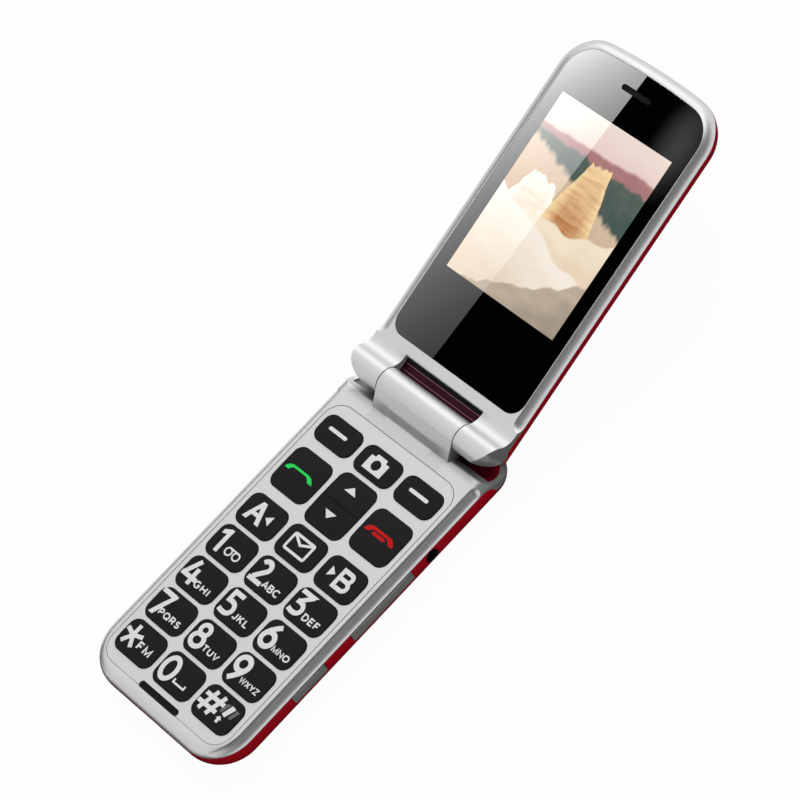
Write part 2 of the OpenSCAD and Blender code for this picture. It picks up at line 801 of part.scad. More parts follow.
// Sets children at the height of the free corners' centres, in steps that keep every digit,
// so that the corner sweeps meet the arch exactly
module at_corners() {
    whole = floor(corner_y);
    part = floor((corner_y - whole) * 1e4) / 1e4;
    translate([0, whole]) translate([0, part]) translate([0, corner_y - whole - part]) children();
}

// Sector of the arched free end, between the two corners
module arch_sector() {
    reach = [corner_x, corner_y - arch_mid];
    far = 1.2 * reach;
    near = 0.85 * reach;
    translate([0, arch_mid]) polygon([far, [-far[0], far[1]], [-near[0], near[1]], near]);
}

// Plan of the lid, set in from its outline, from y0 to the arched free end
module lid_plan(inset, y0) {
    w = lid_half - inset;
    r = lid_corner_r - inset;
    union() {
        at_corners() translate([-w, y0 - corner_y]) square([2 * w, corner_y - y0]);
        difference() {
            at_corners() for (m = [0, 1]) mirror([m, 0]) translate([corner_x, 0]) intersection() {
                circle(r, $fn = 96);
                square(r);
            }
            arch_sector();
        }
        intersection() {
            translate([0, arch_mid]) circle(lid_arch_r - inset, $fn = 720);
            arch_sector();
        }
    }
}

// Sweeps an edge section round the lid's sides and free end, from y0
module lid_rim(y0) {
    at_corners() for (m = [0, 1]) mirror([m, 0, 0]) translate([lid_half, 0, 0])
        rotate([90, 0, 0]) linear_extrude(corner_y - y0) children();
    difference() {
        at_corners() for (m = [0, 1]) mirror([m, 0, 0]) translate([corner_x, 0, 0])
            rotate_extrude(angle = 90, $fn = 128) translate([lid_corner_r, 0]) children();
        translate([0, 0, -20]) linear_extrude(40) arch_sector();
    }
    intersection() {
        translate([0, arch_mid, 0]) rotate_extrude(angle = 180, $fn = 720)
            translate([lid_arch_r, 0]) children();
        translate([0, 0, -20]) linear_extrude(40) arch_sector();
    }
}

// Section of the lid's edge, from the back up to the face at y = 0
module lid_section() {
    translate([0, -lid_t]) edge_section(lid_rim_depth, lid_t, lid_edge_r, 0.3);
}

// Side view of the lid's hinge end: the back tapers towards the axis
module lid_taper() {
    union() {
        translate([taper_y, taper_r - lid_t]) circle(taper_r, $fn = 128);
        translate([taper_y, -lid_t]) square([lid_len, lid_t + 10]);
    }
}

// Plan that rounds the ears at the lid's hinge corners
module lid_hinge_plan() {
    r = ear_plan_r;
    union() {
        translate([-lid_half - 1, ear_plan_y]) square([lid_w + 2, lid_len]);
        translate([r - lid_half, -10]) square([lid_w - 2 * r, ear_plan_y + 10 + eps]);
        for (s = [-1, 1]) translate([s * (lid_half - r), ear_plan_y]) circle(r, $fn = 128);
    }
}

// Outer form of the lid's back, up to its face
module lid_body() {
    intersection() {
        union() {
            lid_rim(-4) lid_section();
            translate([0, 0, -lid_t]) linear_extrude(lid_t) lid_plan(lid_rim_depth - 0.2, -4);
        }
        along_x(-lid_half - 1, lid_half + 1) lid_taper();
        translate([0, 0, -lid_t - 1]) linear_extrude(20) lid_hinge_plan();
    }
}

// Side view of the frame: the plate, the drum and the fillet that runs one into the other
module frame_profile() {
    run = [fillet_y, fillet_r - face_to_axis];
    touch = [0, face_to_axis] + run * barrel_r / (barrel_r + fillet_r);
    difference() {
        union() {
            translate([0, face_to_axis]) circle(barrel_r);
            polygon([
                [0, -lid_seam], [lid_len + 1, -lid_seam], [lid_len + 1, 0], [fillet_y, 0],
                touch, [0, face_to_axis]
            ]);
        }
        translate([fillet_y, fillet_r]) circle(fillet_r, $fn = 128);
    }
}

// Section of the frame's edge, with its cove
module frame_section() {
    difference() {
        translate([-lid_rim_depth, -lid_seam]) square([lid_rim_depth, lid_seam]);
        translate([lid_cove_x - lid_half, lid_cove_z]) circle(lid_cove_r);
    }
}

// Side view of the slot between the ears, with the plate's edge rounded over
module slot_section() {
    difference() {
        union() {
            translate([-5, -lid_t]) square([5 + fillet_y, 20]);
            translate([fillet_y - eps, eps - slot_soft]) square([slot_soft + eps, 5]);
        }
        translate([fillet_y + slot_soft, eps - slot_soft]) circle(slot_soft);
    }
}

// Hinge end of the frame: the two ears, and the round ends of the coves
module frame_ears() {
    difference() {
        intersection() {
            translate([0, 0, -lid_t]) linear_extrude(20) intersection() {
                translate([-lid_half, -4]) square([lid_w, 4 + cove_end]);
                lid_hinge_plan();
            }
            along_x(-lid_half - 1, lid_half + 1) frame_profile();
        }
        along_x(-ear_in, ear_in) slot_section();
        for (m = [0, 1]) mirror([m, 0, 0]) translate([lid_cove_x, cove_end, lid_cove_z]) sphere(lid_cove_r);
    }
}

// Frame round the window
module lid_frame_body() {
    intersection() {
        union() {
            lid_rim(0) frame_section();
            translate([0, 0, -lid_seam]) linear_extrude(lid_seam) lid_plan(lid_rim_depth - 0.2, 0);
        }
        translate([-lid_w, cove_end, -lid_t]) cube([2 * lid_w, lid_len, 20]);
    }
    frame_ears();
}

module window_plan(inset) {
    intersection() {
        lid_plan(lid_frame + inset, 0);
        translate([0, (window_y + lid_len) / 2])
            rounded_rect(lid_w - 2 * (lid_frame + inset), lid_len - window_y - 2 * inset, 4 - inset);
    }
}

module inner_shell() color([0.80, 0.80, 0.81]) lid_place() {
    difference() {
        union() {
            lid_frame_body();
            // Plate that carries the window
            translate([0, 0, -window_t - 0.8]) linear_extrude(0.9) lid_plan(2.2, fillet_y + 1.1);
        }
        translate([0, 0, -window_t - 0.05]) linear_extrude(10) window_plan(-0.05);
        // Opening for the display and the earpiece
        translate([0, display_y, 0]) rounded_block(display_w + 0.4, display_len + 0.4, 1, -10, 12);
        translate([0, earpiece_y, 0]) rounded_block(13.4, 4.6, 1, -10, 12);
        // Hinge bores
        translate([0, 0, face_to_axis]) {
            x_cylinder(shaft_r + shaft_gap, ear_in - 1, ear_in + shaft_len + 0.3);
            x_cylinder(follower_r, ear_in - 1, ear_in + follower_len);
            x_cylinder(bush_r, -ear_in - bush_in, 0 - ear_in + 1);
            x_cylinder(flex_r + 0.3, -ear_in - bush_in - 1.2, -ear_in);
        }
    }
}

module outer_shell() color([0.49, 0.04, 0.08]) lid_place() {
    difference() {
        intersection() {
            lid_body();
            translate([-lid_half - 1, -5, -lid_t - 1]) cube([lid_w + 2, lid_len + 6, lid_t + 1 - lid_seam - eps]);
        }
        // Seat of the drums and the channel around the barrel
        translate([0, 0, face_to_axis]) {
            for (m = [0, 1]) mirror([m, 0, 0]) x_cylinder(barrel_r + 0.04, ear_in - 0.2, lid_half + 1);
            x_cylinder(channel_r, -ear_in - eps, ear_in + eps);
            // The tail ends just past the foot of the axis
            rotate([10, 0, 0]) translate([-lid_half - 1, -20, -20]) cube([lid_w + 2, 20, 40]);
        }
        // Shelf behind the barrel
        translate([-ear_in, -5, shelf_z]) cube([2 * ear_in, 5 + fillet_y, 10]);
        // Hollow
        translate([0, 0, -4]) linear_extrude(10) lid_plan(1.7, fillet_y + 1);
        translate([0, 0, lid_floor]) linear_extrude(10) lid_plan(3.4, fillet_y + 2);
        // Camera and flash holes
        translate([0, camera_y, -lid_t - 1]) cylinder(r = camera_r + 0.05, h = 5);
        translate([flash_x, camera_y, -lid_t - 1]) cylinder(r = flash_r + 0.05, h = 5);
    }
}

module window() color([0.02, 0.02, 0.025]) lid_place() {
    difference() {
        translate([0, 0, -window_t]) linear_extrude(window_t) window_plan(0.05);
        translate([-0.5, earpiece_y, -5]) linear_extrude(10) slot(slot_len, slot_w);
    }
}

module display_module() color([0.75, 0.77, 0.80]) lid_place() {
    translate([0, display_y, 0]) rounded_block(display_w, display_len, 0.6, display_z, display_t);
}

module lid_board() color([0.10, 0.35, 0.20]) lid_place() {
    translate([0, 0, lid_board_z]) linear_extrude(board_t) difference() {
        lid_plan(4, 14);
        translate([0, camera_y]) square([8.6, 8.6], center = true);
    }
}

module earpiece() color([0.20, 0.20, 0.21]) lid_place() {
    translate([0, earpiece_y, 0]) rounded_block(13, 4.2, 1, display_z, display_t - 0.05);
}

module earpiece_mesh() color([0.07, 0.07, 0.07]) lid_place() {
    translate([-0.5, earpiece_y, -window_t]) linear_extrude(window_t - 0.35) slot(slot_len - 0.1, slot_w - 0.1);
}

module camera_module() color([0.10, 0.10, 0.11]) lid_place() {
    translate([0, camera_y, 0]) {
        rounded_block(8, 8, 0.5, -5.6, 5.5 + display_z);
        translate([0, 0, -5.9]) cylinder(r = 2.6, h = 0.4);
    }
}

module camera_window() color([0.05, 0.05, 0.06]) lid_place() {
    translate([0, camera_y, -lid_t]) difference() {
        cylinder(r = camera_r, h = 0.8);
        translate([0, 0, -1]) cylinder(r = camera_r - 1, h = 1.25);
    }
}

module flash_lens() color([0.90, 0.90, 0.85]) lid_place() {
    translate([flash_x, camera_y, -lid_t]) cylinder(r = flash_r, h = lid_t + lid_board_z);
}

module shut_magnet() color([0.60, 0.60, 0.62]) lid_place() {
    translate([lid_half - 8.8, 16.5, lid_floor]) cylinder(r = 2.4, h = lid_board_z - lid_floor);
}

// Cam follower, fixed in the right ear
module cam_follower() color([0.70, 0.70, 0.72]) lid_place() translate([0, 0, face_to_axis]) difference() {
    x_cylinder(follower_r, ear_in, ear_in + follower_len);
    x_cylinder(shaft_r + shaft_gap, ear_in - 1, ear_in + follower_len + 1);
}

// Hollow bush, fixed in the left ear, that turns in the barrel
module pivot_bush() color([0.70, 0.70, 0.72]) lid_place() translate([0, 0, face_to_axis]) difference() {
    x_cylinder(bush_r, -ear_in - bush_in, bush_end);
    x_cylinder(bush_bore, -ear_in - bush_in - 1, bush_end + 1);
}

front_shell();
keypad_panel();
mic_grille();
keypad_mat();
dome_sheet();
main_board();
shield_can();
side_switches();
rear_housing();
battery_cover();
battery();
battery_contacts();
sim_card_holder();
loudspeaker();
vibration_motor();
microphone();
headset_jack();
usb_socket();
housing_screws();
hinge_cartridge();
flex_cable();
left_soft_key();
camera_key();
right_soft_key();
call_key();
nav_key();
end_key();
memory_a_key();
message_key();
memory_b_key();
key_1();
key_2();
key_3();
key_4();
key_5();
key_6();
key_7();
key_8();
key_9();
star_key();
key_0();
hash_key();
volume_rocker();
side_key();
emergency_key();
inner_shell();
outer_shell();
window();
display_module();
lid_board();
earpiece();
earpiece_mesh();
camera_module();
camera_window();
flash_lens();
shut_magnet();
cam_follower();
pivot_bush();
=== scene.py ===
import math
import bpy
from mathutils import Matrix, Vector
from mathutils.geometry import delaunay_2d_cdt


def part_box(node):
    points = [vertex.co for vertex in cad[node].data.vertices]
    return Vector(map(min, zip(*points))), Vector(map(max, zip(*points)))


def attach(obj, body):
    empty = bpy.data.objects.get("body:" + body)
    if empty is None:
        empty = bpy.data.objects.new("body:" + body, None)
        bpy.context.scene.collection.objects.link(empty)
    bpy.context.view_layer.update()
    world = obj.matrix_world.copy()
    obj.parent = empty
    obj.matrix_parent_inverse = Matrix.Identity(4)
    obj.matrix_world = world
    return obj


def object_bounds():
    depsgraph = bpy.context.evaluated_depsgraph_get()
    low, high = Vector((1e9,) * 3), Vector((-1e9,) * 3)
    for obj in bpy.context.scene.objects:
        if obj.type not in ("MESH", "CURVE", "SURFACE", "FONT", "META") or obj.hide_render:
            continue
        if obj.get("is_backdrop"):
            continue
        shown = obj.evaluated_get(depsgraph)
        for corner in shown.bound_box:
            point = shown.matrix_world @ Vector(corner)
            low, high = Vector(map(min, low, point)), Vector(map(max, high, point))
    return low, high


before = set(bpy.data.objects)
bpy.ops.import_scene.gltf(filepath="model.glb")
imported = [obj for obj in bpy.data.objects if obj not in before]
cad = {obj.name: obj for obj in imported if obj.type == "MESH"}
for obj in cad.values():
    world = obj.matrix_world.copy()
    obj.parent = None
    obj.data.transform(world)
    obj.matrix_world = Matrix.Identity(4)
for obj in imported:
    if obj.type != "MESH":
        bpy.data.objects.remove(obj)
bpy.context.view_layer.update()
bpy.ops.object.select_all(action="DESELECT")

# ---- Camera ----
# A long lens, high over the side with the volume rocker.
CAMERA_AT = Vector((0.50190, -0.09816, 0.71404))
CAMERA_TURN = (0.558779, 0.341355, 0.806720)
SENSOR_WIDE, LENS = 36, 169.27                   # millimetres
bpy.ops.object.camera_add(location=CAMERA_AT, rotation=CAMERA_TURN)
camera = bpy.context.object
camera.data.sensor_width = SENSOR_WIDE
camera.data.lens = LENS
bpy.context.scene.camera = camera
bpy.context.scene.view_settings.view_transform = "Standard"

# ---- Table, room and lamps ----
# A white table that shows white and keeps the shadow, an even room, and three soft lamps that only
# matt paint sees. Glossy paint mirrors the white room, black cloths round the phone, and two white
# cards behind its hinge.
TABLE_GAP = 0.0002                               # between the table and the phone's back
TABLE_BOUNCE, TABLE_SHADE = 0.18, 0.90           # how light it is to the phone and to the camera
TABLE_SHARE = 0.96                               # of its own white, the rest takes light and shadow
ROOM_STRENGTH = 0.14                             # of the even light from all sides
LAMPS_FACE = Vector((0, 0.04, 0.01))
LAMPS = (                                        # name, place, size, watts
    ("lamp_key", (-0.46, 0.58, 0.88), 1.0, 8.5),
    ("lamp_fill", (0.10, -0.50, 0.90), 0.7, 2.6),
    ("lamp_side", (0.90, 0.10, 0.20), 0.5, 2.6),
)
bpy.ops.mesh.primitive_plane_add(size=6, location=(0, 0, -TABLE_GAP))
table = bpy.context.object
table.name = "table"
table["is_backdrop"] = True


def only_mirrored(obj):
    """Hides a cloth or a card from all but mirrors."""
    obj.visible_camera = False
    obj.visible_diffuse = False
    obj.visible_shadow = False
    obj.visible_transmission = False


def white_backdrop(tree, lit, share):
    """Shows white to the camera, to glossy and to clear surfaces, and the lit shader to the rest."""
    path = tree.nodes.new("ShaderNodeLightPath")
    seen = tree.nodes.new("ShaderNodeMath")
    seen.operation = "MAXIMUM"
    seen_too = tree.nodes.new("ShaderNodeMath")
    seen_too.operation = "MAXIMUM"
    tree.links.new(path.outputs["Is Camera Ray"], seen.inputs[0])
    tree.links.new(path.outputs["Is Glossy Ray"], seen.inputs[1])
    tree.links.new(seen.outputs[0], seen_too.inputs[0])
    tree.links.new(path.outputs["Is Transmission Ray"], seen_too.inputs[1])
    part = tree.nodes.new("ShaderNodeMath")
    part.operation = "MULTIPLY"
    part.inputs[1].default_value = share
    tree.links.new(seen_too.outputs[0], part.inputs[0])
    mix = tree.nodes.new("ShaderNodeMixShader")
    tree.links.new(part.outputs[0], mix.inputs[0])
    tree.links.new(lit.outputs[0], mix.inputs[1])
    return mix


table_white = bpy.data.materials.new("table_white")
table_white.use_nodes = True
tree = table_white.node_tree
tree.nodes.clear()
matt = tree.nodes.new("ShaderNodeBsdfDiffuse")
path = tree.nodes.new("ShaderNodeLightPath")
shade = tree.nodes.new("ShaderNodeMix")
shade.data_type = "RGBA"
shade.inputs["A"].default_value = (*[TABLE_BOUNCE] * 3, 1)
shade.inputs["B"].default_value = (*[TABLE_SHADE] * 3, 1)
tree.links.new(path.outputs["Is Camera Ray"], shade.inputs["Factor"])
tree.links.new(shade.outputs["Result"], matt.inputs["Color"])
glow = tree.nodes.new("ShaderNodeEmission")
glow.inputs["Color"].default_value = (1, 1, 1, 1)
glow.inputs["Strength"].default_value = 1.0
mix = white_backdrop(tree, matt, TABLE_SHARE)
tree.links.new(glow.outputs[0], mix.inputs[2])
out = tree.nodes.new("ShaderNodeOutputMaterial")
tree.links.new(mix.outputs[0], out.inputs[0])
table.data.materials.append(table_white)

room = bpy.data.worlds.new("room")
bpy.context.scene.world = room
room.use_nodes = True
tree = room.node_tree
tree.nodes.clear()
even = tree.nodes.new("ShaderNodeBackground")
even.inputs["Color"].default_value = (1, 1, 1, 1)
even.inputs["Strength"].default_value = ROOM_STRENGTH
white = tree.nodes.new("ShaderNodeBackground")
white.inputs["Color"].default_value = (1, 1, 1, 1)
white.inputs["Strength"].default_value = 1.0
mix = white_backdrop(tree, even, 1.0)
tree.links.new(white.outputs[0], mix.inputs[2])
out = tree.nodes.new("ShaderNodeOutputWorld")
tree.links.new(mix.outputs[0], out.inputs[0])

for name, place, size, power in LAMPS:
    bpy.ops.object.light_add(type="AREA", location=place)
    lamp = bpy.context.object
    lamp.name = name
    lamp.data.size = size
    lamp.data.energy = power
    lamp.visible_glossy = False                  # the room and the cards make the gloss
    lamp.rotation_euler = (LAMPS_FACE - Vector(place)).to_track_quat("-Z", "Y").to_euler()

black_cloth = bpy.data.materials.new("black_cloth")
black_cloth.use_nodes = True
shader = black_cloth.node_tree.nodes["Principled BSDF"]
shader.inputs["Roughness"].default_value = 1.0
shader.inputs["Specular IOR Level"].default_value = 0.0
shader.inputs["Base Color"].default_value = (0.004, 0.004, 0.004, 1)
for name, low, high in (                         # name and two opposite corners
    ("cloth_right", (0.010, -0.30, 0.0001), (0.330, 0.30, 0.0001)),
    ("cloth_right_wall", (0.330, -0.30, 0.0), (0.330, 0.30, 0.75)),
    ("cloth_left_wall", (-0.50, -0.40, 0.0), (-0.50, 0.18, 0.24)),
    ("cloth_right_roof", (-0.04, -0.45, 0.75), (0.80, 0.60, 0.75)),
    ("cloth_front", (-0.10, -0.085, 0.0001), (0.010, -0.040, 0.0001)),
):
    bpy.ops.mesh.primitive_plane_add(size=1)
    cloth = bpy.context.object
    cloth.name = name
    side = Vector(high) - Vector(low)
    if side.x == 0:
        turn = Matrix.Rotation(math.pi / 2, 4, "Y") @ Matrix.Diagonal((side.z, side.y, 1, 1))
    else:
        turn = Matrix.Diagonal((side.x, side.y, 1, 1))
    cloth.data.transform(Matrix.Translation((Vector(low) + Vector(high)) / 2) @ turn)
    cloth.data.materials.append(black_cloth)
    only_mirrored(cloth)
    cloth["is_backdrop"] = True

# Two white cards behind, whose sheen lies along the ears, the barrel and the far rims.
CARDS = (("sheen_left", (-0.38, 0.46, 0.36), 0.34), ("sheen_back", (0.04, 0.75, 0.33), 0.60))
CARDS_FACE, CARD_STRENGTH = Vector((0, 0.045, 0.012)), 1.8
card_white = bpy.data.materials.new("card_white")
card_white.use_nodes = True
shader = card_white.node_tree.nodes["Principled BSDF"]
shader.inputs["Emission Color"].default_value = (1, 1, 1, 1)
shader.inputs["Emission Strength"].default_value = CARD_STRENGTH
shader.inputs["Base Color"].default_value = (0, 0, 0, 1)
for name, place, wide in CARDS:
    bpy.ops.mesh.primitive_plane_add(size=wide)
    sheen = bpy.context.object
    sheen.name = name
    turn = (CARDS_FACE - Vector(place)).to_track_quat("Z", "Y").to_matrix().to_4x4()
    sheen.data.transform(Matrix.Translation(place) @ turn)
    sheen.data.materials.append(card_white)
    only_mirrored(sheen)
    sheen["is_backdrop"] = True

# ---- Circuit boards and what they carry ----
# Fibreglass boards with green solder resist, under a steel shield can, with side switches and the
# bought-in pieces round them. Most lie closed in, and all keep their plain solids.


def finish_with(name, colour, rough, metal=0.0, grain=900.0, vary=0.12, bump=0.0):
    """A moulded, painted or metal surface: its colour and gloss vary with a fine grain."""
    mat = bpy.data.materials.new(name)
    mat.use_nodes = True
    tree = mat.node_tree
    shader = tree.nodes["Principled BSDF"]
    shader.inputs["Metallic"].default_value = metal
    place = tree.nodes.new("ShaderNodeTexCoord")
    noise = tree.nodes.new("ShaderNodeTexNoise")
    noise.inputs["Scale"].default_value = grain
    noise.inputs["Detail"].default_value = 3
    tree.links.new(place.outputs["Object"], noise.inputs["Vector"])
    tint = tree.nodes.new("ShaderNodeValToRGB")
    low, high = tint.color_ramp.elements
    low.position, high.position = 0.3, 0.7
    low.color = (*[c * (1 - vary) for c in colour], 1)
    high.color = (*[min(1, c * (1 + vary)) for c in colour], 1)
    tree.links.new(noise.outputs["Fac"], tint.inputs["Fac"])
    tree.links.new(tint.outputs["Color"], shader.inputs["Base Color"])
    gloss = tree.nodes.new("ShaderNodeMapRange")
    gloss.inputs["To Min"].default_value = max(0.02, rough - 0.04)
    gloss.inputs["To Max"].default_value = min(1, rough + 0.04)
    tree.links.new(noise.outputs["Fac"], gloss.inputs["Value"])
    tree.links.new(gloss.outputs["Result"], shader.inputs["Roughness"])
    if bump:
        dents = tree.nodes.new("ShaderNodeBump")
        dents.inputs["Strength"].default_value = 0.3
        dents.inputs["Distance"].default_value = bump
        tree.links.new(noise.outputs["Fac"], dents.inputs["Height"])
        tree.links.new(dents.outputs["Normal"], shader.inputs["Normal"])
    return mat


def dull(mat, level):
    """Sets how much of the light a surface mirrors."""
    mat.node_tree.nodes["Principled BSDF"].inputs["Specular IOR Level"].default_value = level


def finish_node(mat, *names):
    """Gives CAD nodes that keep their shape a material."""
    for name in names:
        cad[name].data.materials.clear()
        cad[name].data.materials.append(mat)


resist_green = finish_with("resist_green", (0.02, 0.11, 0.05), 0.25, grain=1400, vary=0.35)
spring_steel = finish_with("spring_steel", (0.55, 0.55, 0.56), 0.32, 1.0, grain=2600, vary=0.08)
contact_gold = finish_with("contact_gold", (0.85, 0.62, 0.22), 0.25, 1.0, grain=2600, vary=0.08)
moulded_black = finish_with("moulded_black", (0.018, 0.018, 0.019), 0.5, grain=5000, vary=0.25,
                            bump=0.00001)
mesh_black = finish_with("mesh_black", (0.010, 0.010, 0.011), 0.7, grain=9000, vary=0.5)
dull(mesh_black, 0.1)
clear_silicone = finish_with("clear_silicone", (0.5, 0.5, 0.47), 0.55, grain=1500, vary=0.06)
amber_film = finish_with("amber_film", (0.30, 0.12, 0.02), 0.3, grain=1500, vary=0.15)
battery_film = finish_with("battery_film", (0.035, 0.037, 0.045), 0.35, grain=700, vary=0.2)
display_bezel = finish_with("display_bezel", (0.62, 0.63, 0.66), 0.3, 1.0, grain=2600, vary=0.05)
finish_node(resist_green, "main_board", "lid_board")
finish_node(spring_steel, "shield_can", "side_switches", "sim_card_holder", "usb_socket", "vibration_motor",
            "shut_magnet", "cam_follower", "pivot_bush", "hinge_cartridge", "housing_screws", "dome_sheet")
finish_node(contact_gold, "battery_contacts", "microphone")
finish_node(moulded_black, "loudspeaker", "headset_jack", "earpiece", "camera_module")
finish_node(mesh_black, "earpiece_mesh", "mic_grille")
finish_node(clear_silicone, "keypad_mat")
finish_node(amber_film, "flex_cable")
finish_node(battery_film, "battery")
finish_node(display_bezel, "display_module")

# ---- Front shell, keypad panel and the lid's inner shell ----
# Moulded in one grade of ABS and sprayed with silver paint, whose fine flakes glitter a little, under
# a satin lacquer.
SILVER = (0.67, 0.67, 0.673)
silver_paint, silver_base, silver_lid = [
    finish_with(name, SILVER, 0.36, 0.70, grain=9000, vary=0.05)
    for name in ("silver_paint", "silver_base", "silver_lid")]
finish_node(silver_paint, "keypad_panel")
finish_node(silver_base, "front_shell")
finish_node(silver_lid, "inner_shell")


def shade_inside(mat, middle, half, colour, soft_from=0.97, tilt=0.0):
    """Shows another colour on what lies inside a box, such as the shade deep in a crease."""
    tree = mat.node_tree
    shader = tree.nodes["Principled BSDF"]
    place = tree.nodes.new("ShaderNodeTexCoord")
    fit = tree.nodes.new("ShaderNodeMapping")
    fit.vector_type = "TEXTURE"
    fit.inputs["Location"].default_value = middle
    fit.inputs["Rotation"].default_value = (tilt, 0, 0)
    fit.inputs["Scale"].default_value = half
    tree.links.new(place.outputs["Object"], fit.inputs["Vector"])
    size = tree.nodes.new("ShaderNodeVectorMath")
    size.operation = "ABSOLUTE"
    tree.links.new(fit.outputs[0], size.inputs[0])
    parts = tree.nodes.new("ShaderNodeSeparateXYZ")
    tree.links.new(size.outputs[0], parts.inputs[0])
    widest = parts.outputs["X"]
    for axis in "YZ":
        more = tree.nodes.new("ShaderNodeMath")
        more.operation = "MAXIMUM"
        tree.links.new(widest, more.inputs[0])
        tree.links.new(parts.outputs[axis], more.inputs[1])
        widest = more.outputs[0]
    soft = tree.nodes.new("ShaderNodeMapRange")
    soft.inputs["From Min"].default_value = soft_from
    soft.inputs["From Max"].default_value = 1.0
    soft.inputs["To Min"].default_value = 1.0
    soft.inputs["To Max"].default_value = 0.0
    tree.links.new(widest, soft.inputs["Value"])
    mix = tree.nodes.new("ShaderNodeMix")
    mix.data_type = "RGBA"
    mix.inputs["B"].default_value = (*colour, 1)
    tree.links.new(soft.outputs["Result"], mix.inputs["Factor"])
    tree.links.new(shader.inputs["Base Color"].links[0].from_socket, mix.inputs["A"])
    tree.links.new(mix.outputs["Result"], shader.inputs["Base Color"])


# Painted shade: grey in the crease under the neck, in the scoop on each side of the barrel, and on the
# edge of the slot behind it. silver_base and silver_lid are the copies of the silver paint that carry it.
OPEN = math.radians(163.3)
LID_TILT = math.pi - OPEN                        # of the lid over the keypad half
NECK_SHADE, SCOOP_SHADE, SLOT_EDGE_SHADE = (0.33, 0.33, 0.335), (0.06, 0.06, 0.062), (0.12, 0.12, 0.122)
shade_inside(silver_base, (0, 0.0400, 0.01065), (0.01345, 0.0042, 0.00115), NECK_SHADE, 0.55)
for side, reach in ((1, 0.0078), (-1, 0.0072)):
    shade_inside(silver_base, (side * 0.0150, 0.0440, 0.0050), (reach, 0.0058, 0.0075), SCOOP_SHADE, 0.25)
shade_inside(silver_lid, (0, 0.0529, 0.0128), (0.0165, 0.0007, 0.0040), SLOT_EDGE_SHADE, 0.15, LID_TILT)


def link_active(name, mesh):
    """Puts a mesh into the scene as the one selected object."""
    made = bpy.data.objects.new(name, mesh)
    bpy.context.scene.collection.objects.link(made)
    bpy.ops.object.select_all(action="DESELECT")
    bpy.context.view_layer.objects.active = made
    made.select_set(True)
    return made


def thicken(obj, thick):
    """Turns an open sheet into a layer."""
    layer = obj.modifiers.new("layer", "SOLIDIFY")
    layer.thickness = thick
    layer.offset = -1
    bpy.ops.object.modifier_apply(modifier="layer")


# A thin dark strip round the keypad panel, where it meets the shell: painted shadow of the gap between
# them. It is pale grey along the front end, a painted highlight there, and runs black over the microphone's
# grille.
GAP_SHADOW_WIDE, GAP_SHADOW_THICK, GAP_SHADOW_UP = 0.00012, 0.00004, 0.00002
GAP_SHADOW_R, GAP_SHADOW_STEPS = 0.0050, 12
panel_low, panel_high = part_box("keypad_panel")
panel_mid = (panel_low + panel_high) / 2
loops = []
for grow in (-GAP_SHADOW_WIDE / 2, GAP_SHADOW_WIDE / 2):
    half_x = panel_high.x - panel_mid.x - GAP_SHADOW_R
    half_y = panel_high.y - panel_mid.y - GAP_SHADOW_R
    loop = []
    for quarter, (sx, sy) in enumerate(((1, 1), (-1, 1), (-1, -1), (1, -1))):
        for step in range(GAP_SHADOW_STEPS + 1):
            turn = math.radians(90 * (quarter + step / GAP_SHADOW_STEPS))
            loop.append((panel_mid.x + sx * half_x + (GAP_SHADOW_R + grow) * math.cos(turn),
                         panel_mid.y + sy * half_y + (GAP_SHADOW_R + grow) * math.sin(turn),
                         panel_high.z + GAP_SHADOW_UP))
    loops.append(loop)
count = len(loops[0])
gap_shadow_mesh = bpy.data.meshes.new("panel_gap_shadow")
gap_shadow_mesh.from_pydata(loops[0] + loops[1], [], [
    (i, count + i, count + (i + 1) % count, (i + 1) % count) for i in range(count)])
seal_black = finish_with("seal_black", (0.030, 0.030, 0.032), 0.6, grain=5000, vary=0.2)
FRONT_HIGHLIGHT_GREY, GRILLE_BLACK = (0.42, 0.42, 0.42), (0.010, 0.010, 0.010)
# Painted highlight: the strip pale grey along the front end.
shade_inside(seal_black, (0, -0.0480, 0.0096), (0.030, 0.0120, 0.0030), FRONT_HIGHLIGHT_GREY, 0.45)
grille_low, grille_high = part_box("mic_grille")
grille_half_x = (grille_high.x - grille_low.x) / 2
shade_inside(seal_black, (grille_low + grille_high) / 2, (grille_half_x, 0.0020, 0.0030), GRILLE_BLACK)
gap_shadow_mesh.materials.append(seal_black)
seal = link_active("panel_gap_shadow", gap_shadow_mesh)
thicken(seal, GAP_SHADOW_THICK)
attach(seal, "base")

# ---- Rear housing, battery cover and the lid's outer shell ----
# Moulded in dark crimson ABS, under a clear gloss lacquer. The rear housing is screwed to the front
# shell, and the cover closes the battery's bay.
CRIMSON = (0.48, 0.0065, 0.018)
crimson_gloss = finish_with("crimson_gloss", CRIMSON, 0.16, grain=9000, vary=0.10)
crimson_base = finish_with("crimson_base", CRIMSON, 0.16, grain=9000, vary=0.10)
for mat in (crimson_gloss, crimson_base):
    dull(mat, 0.30)
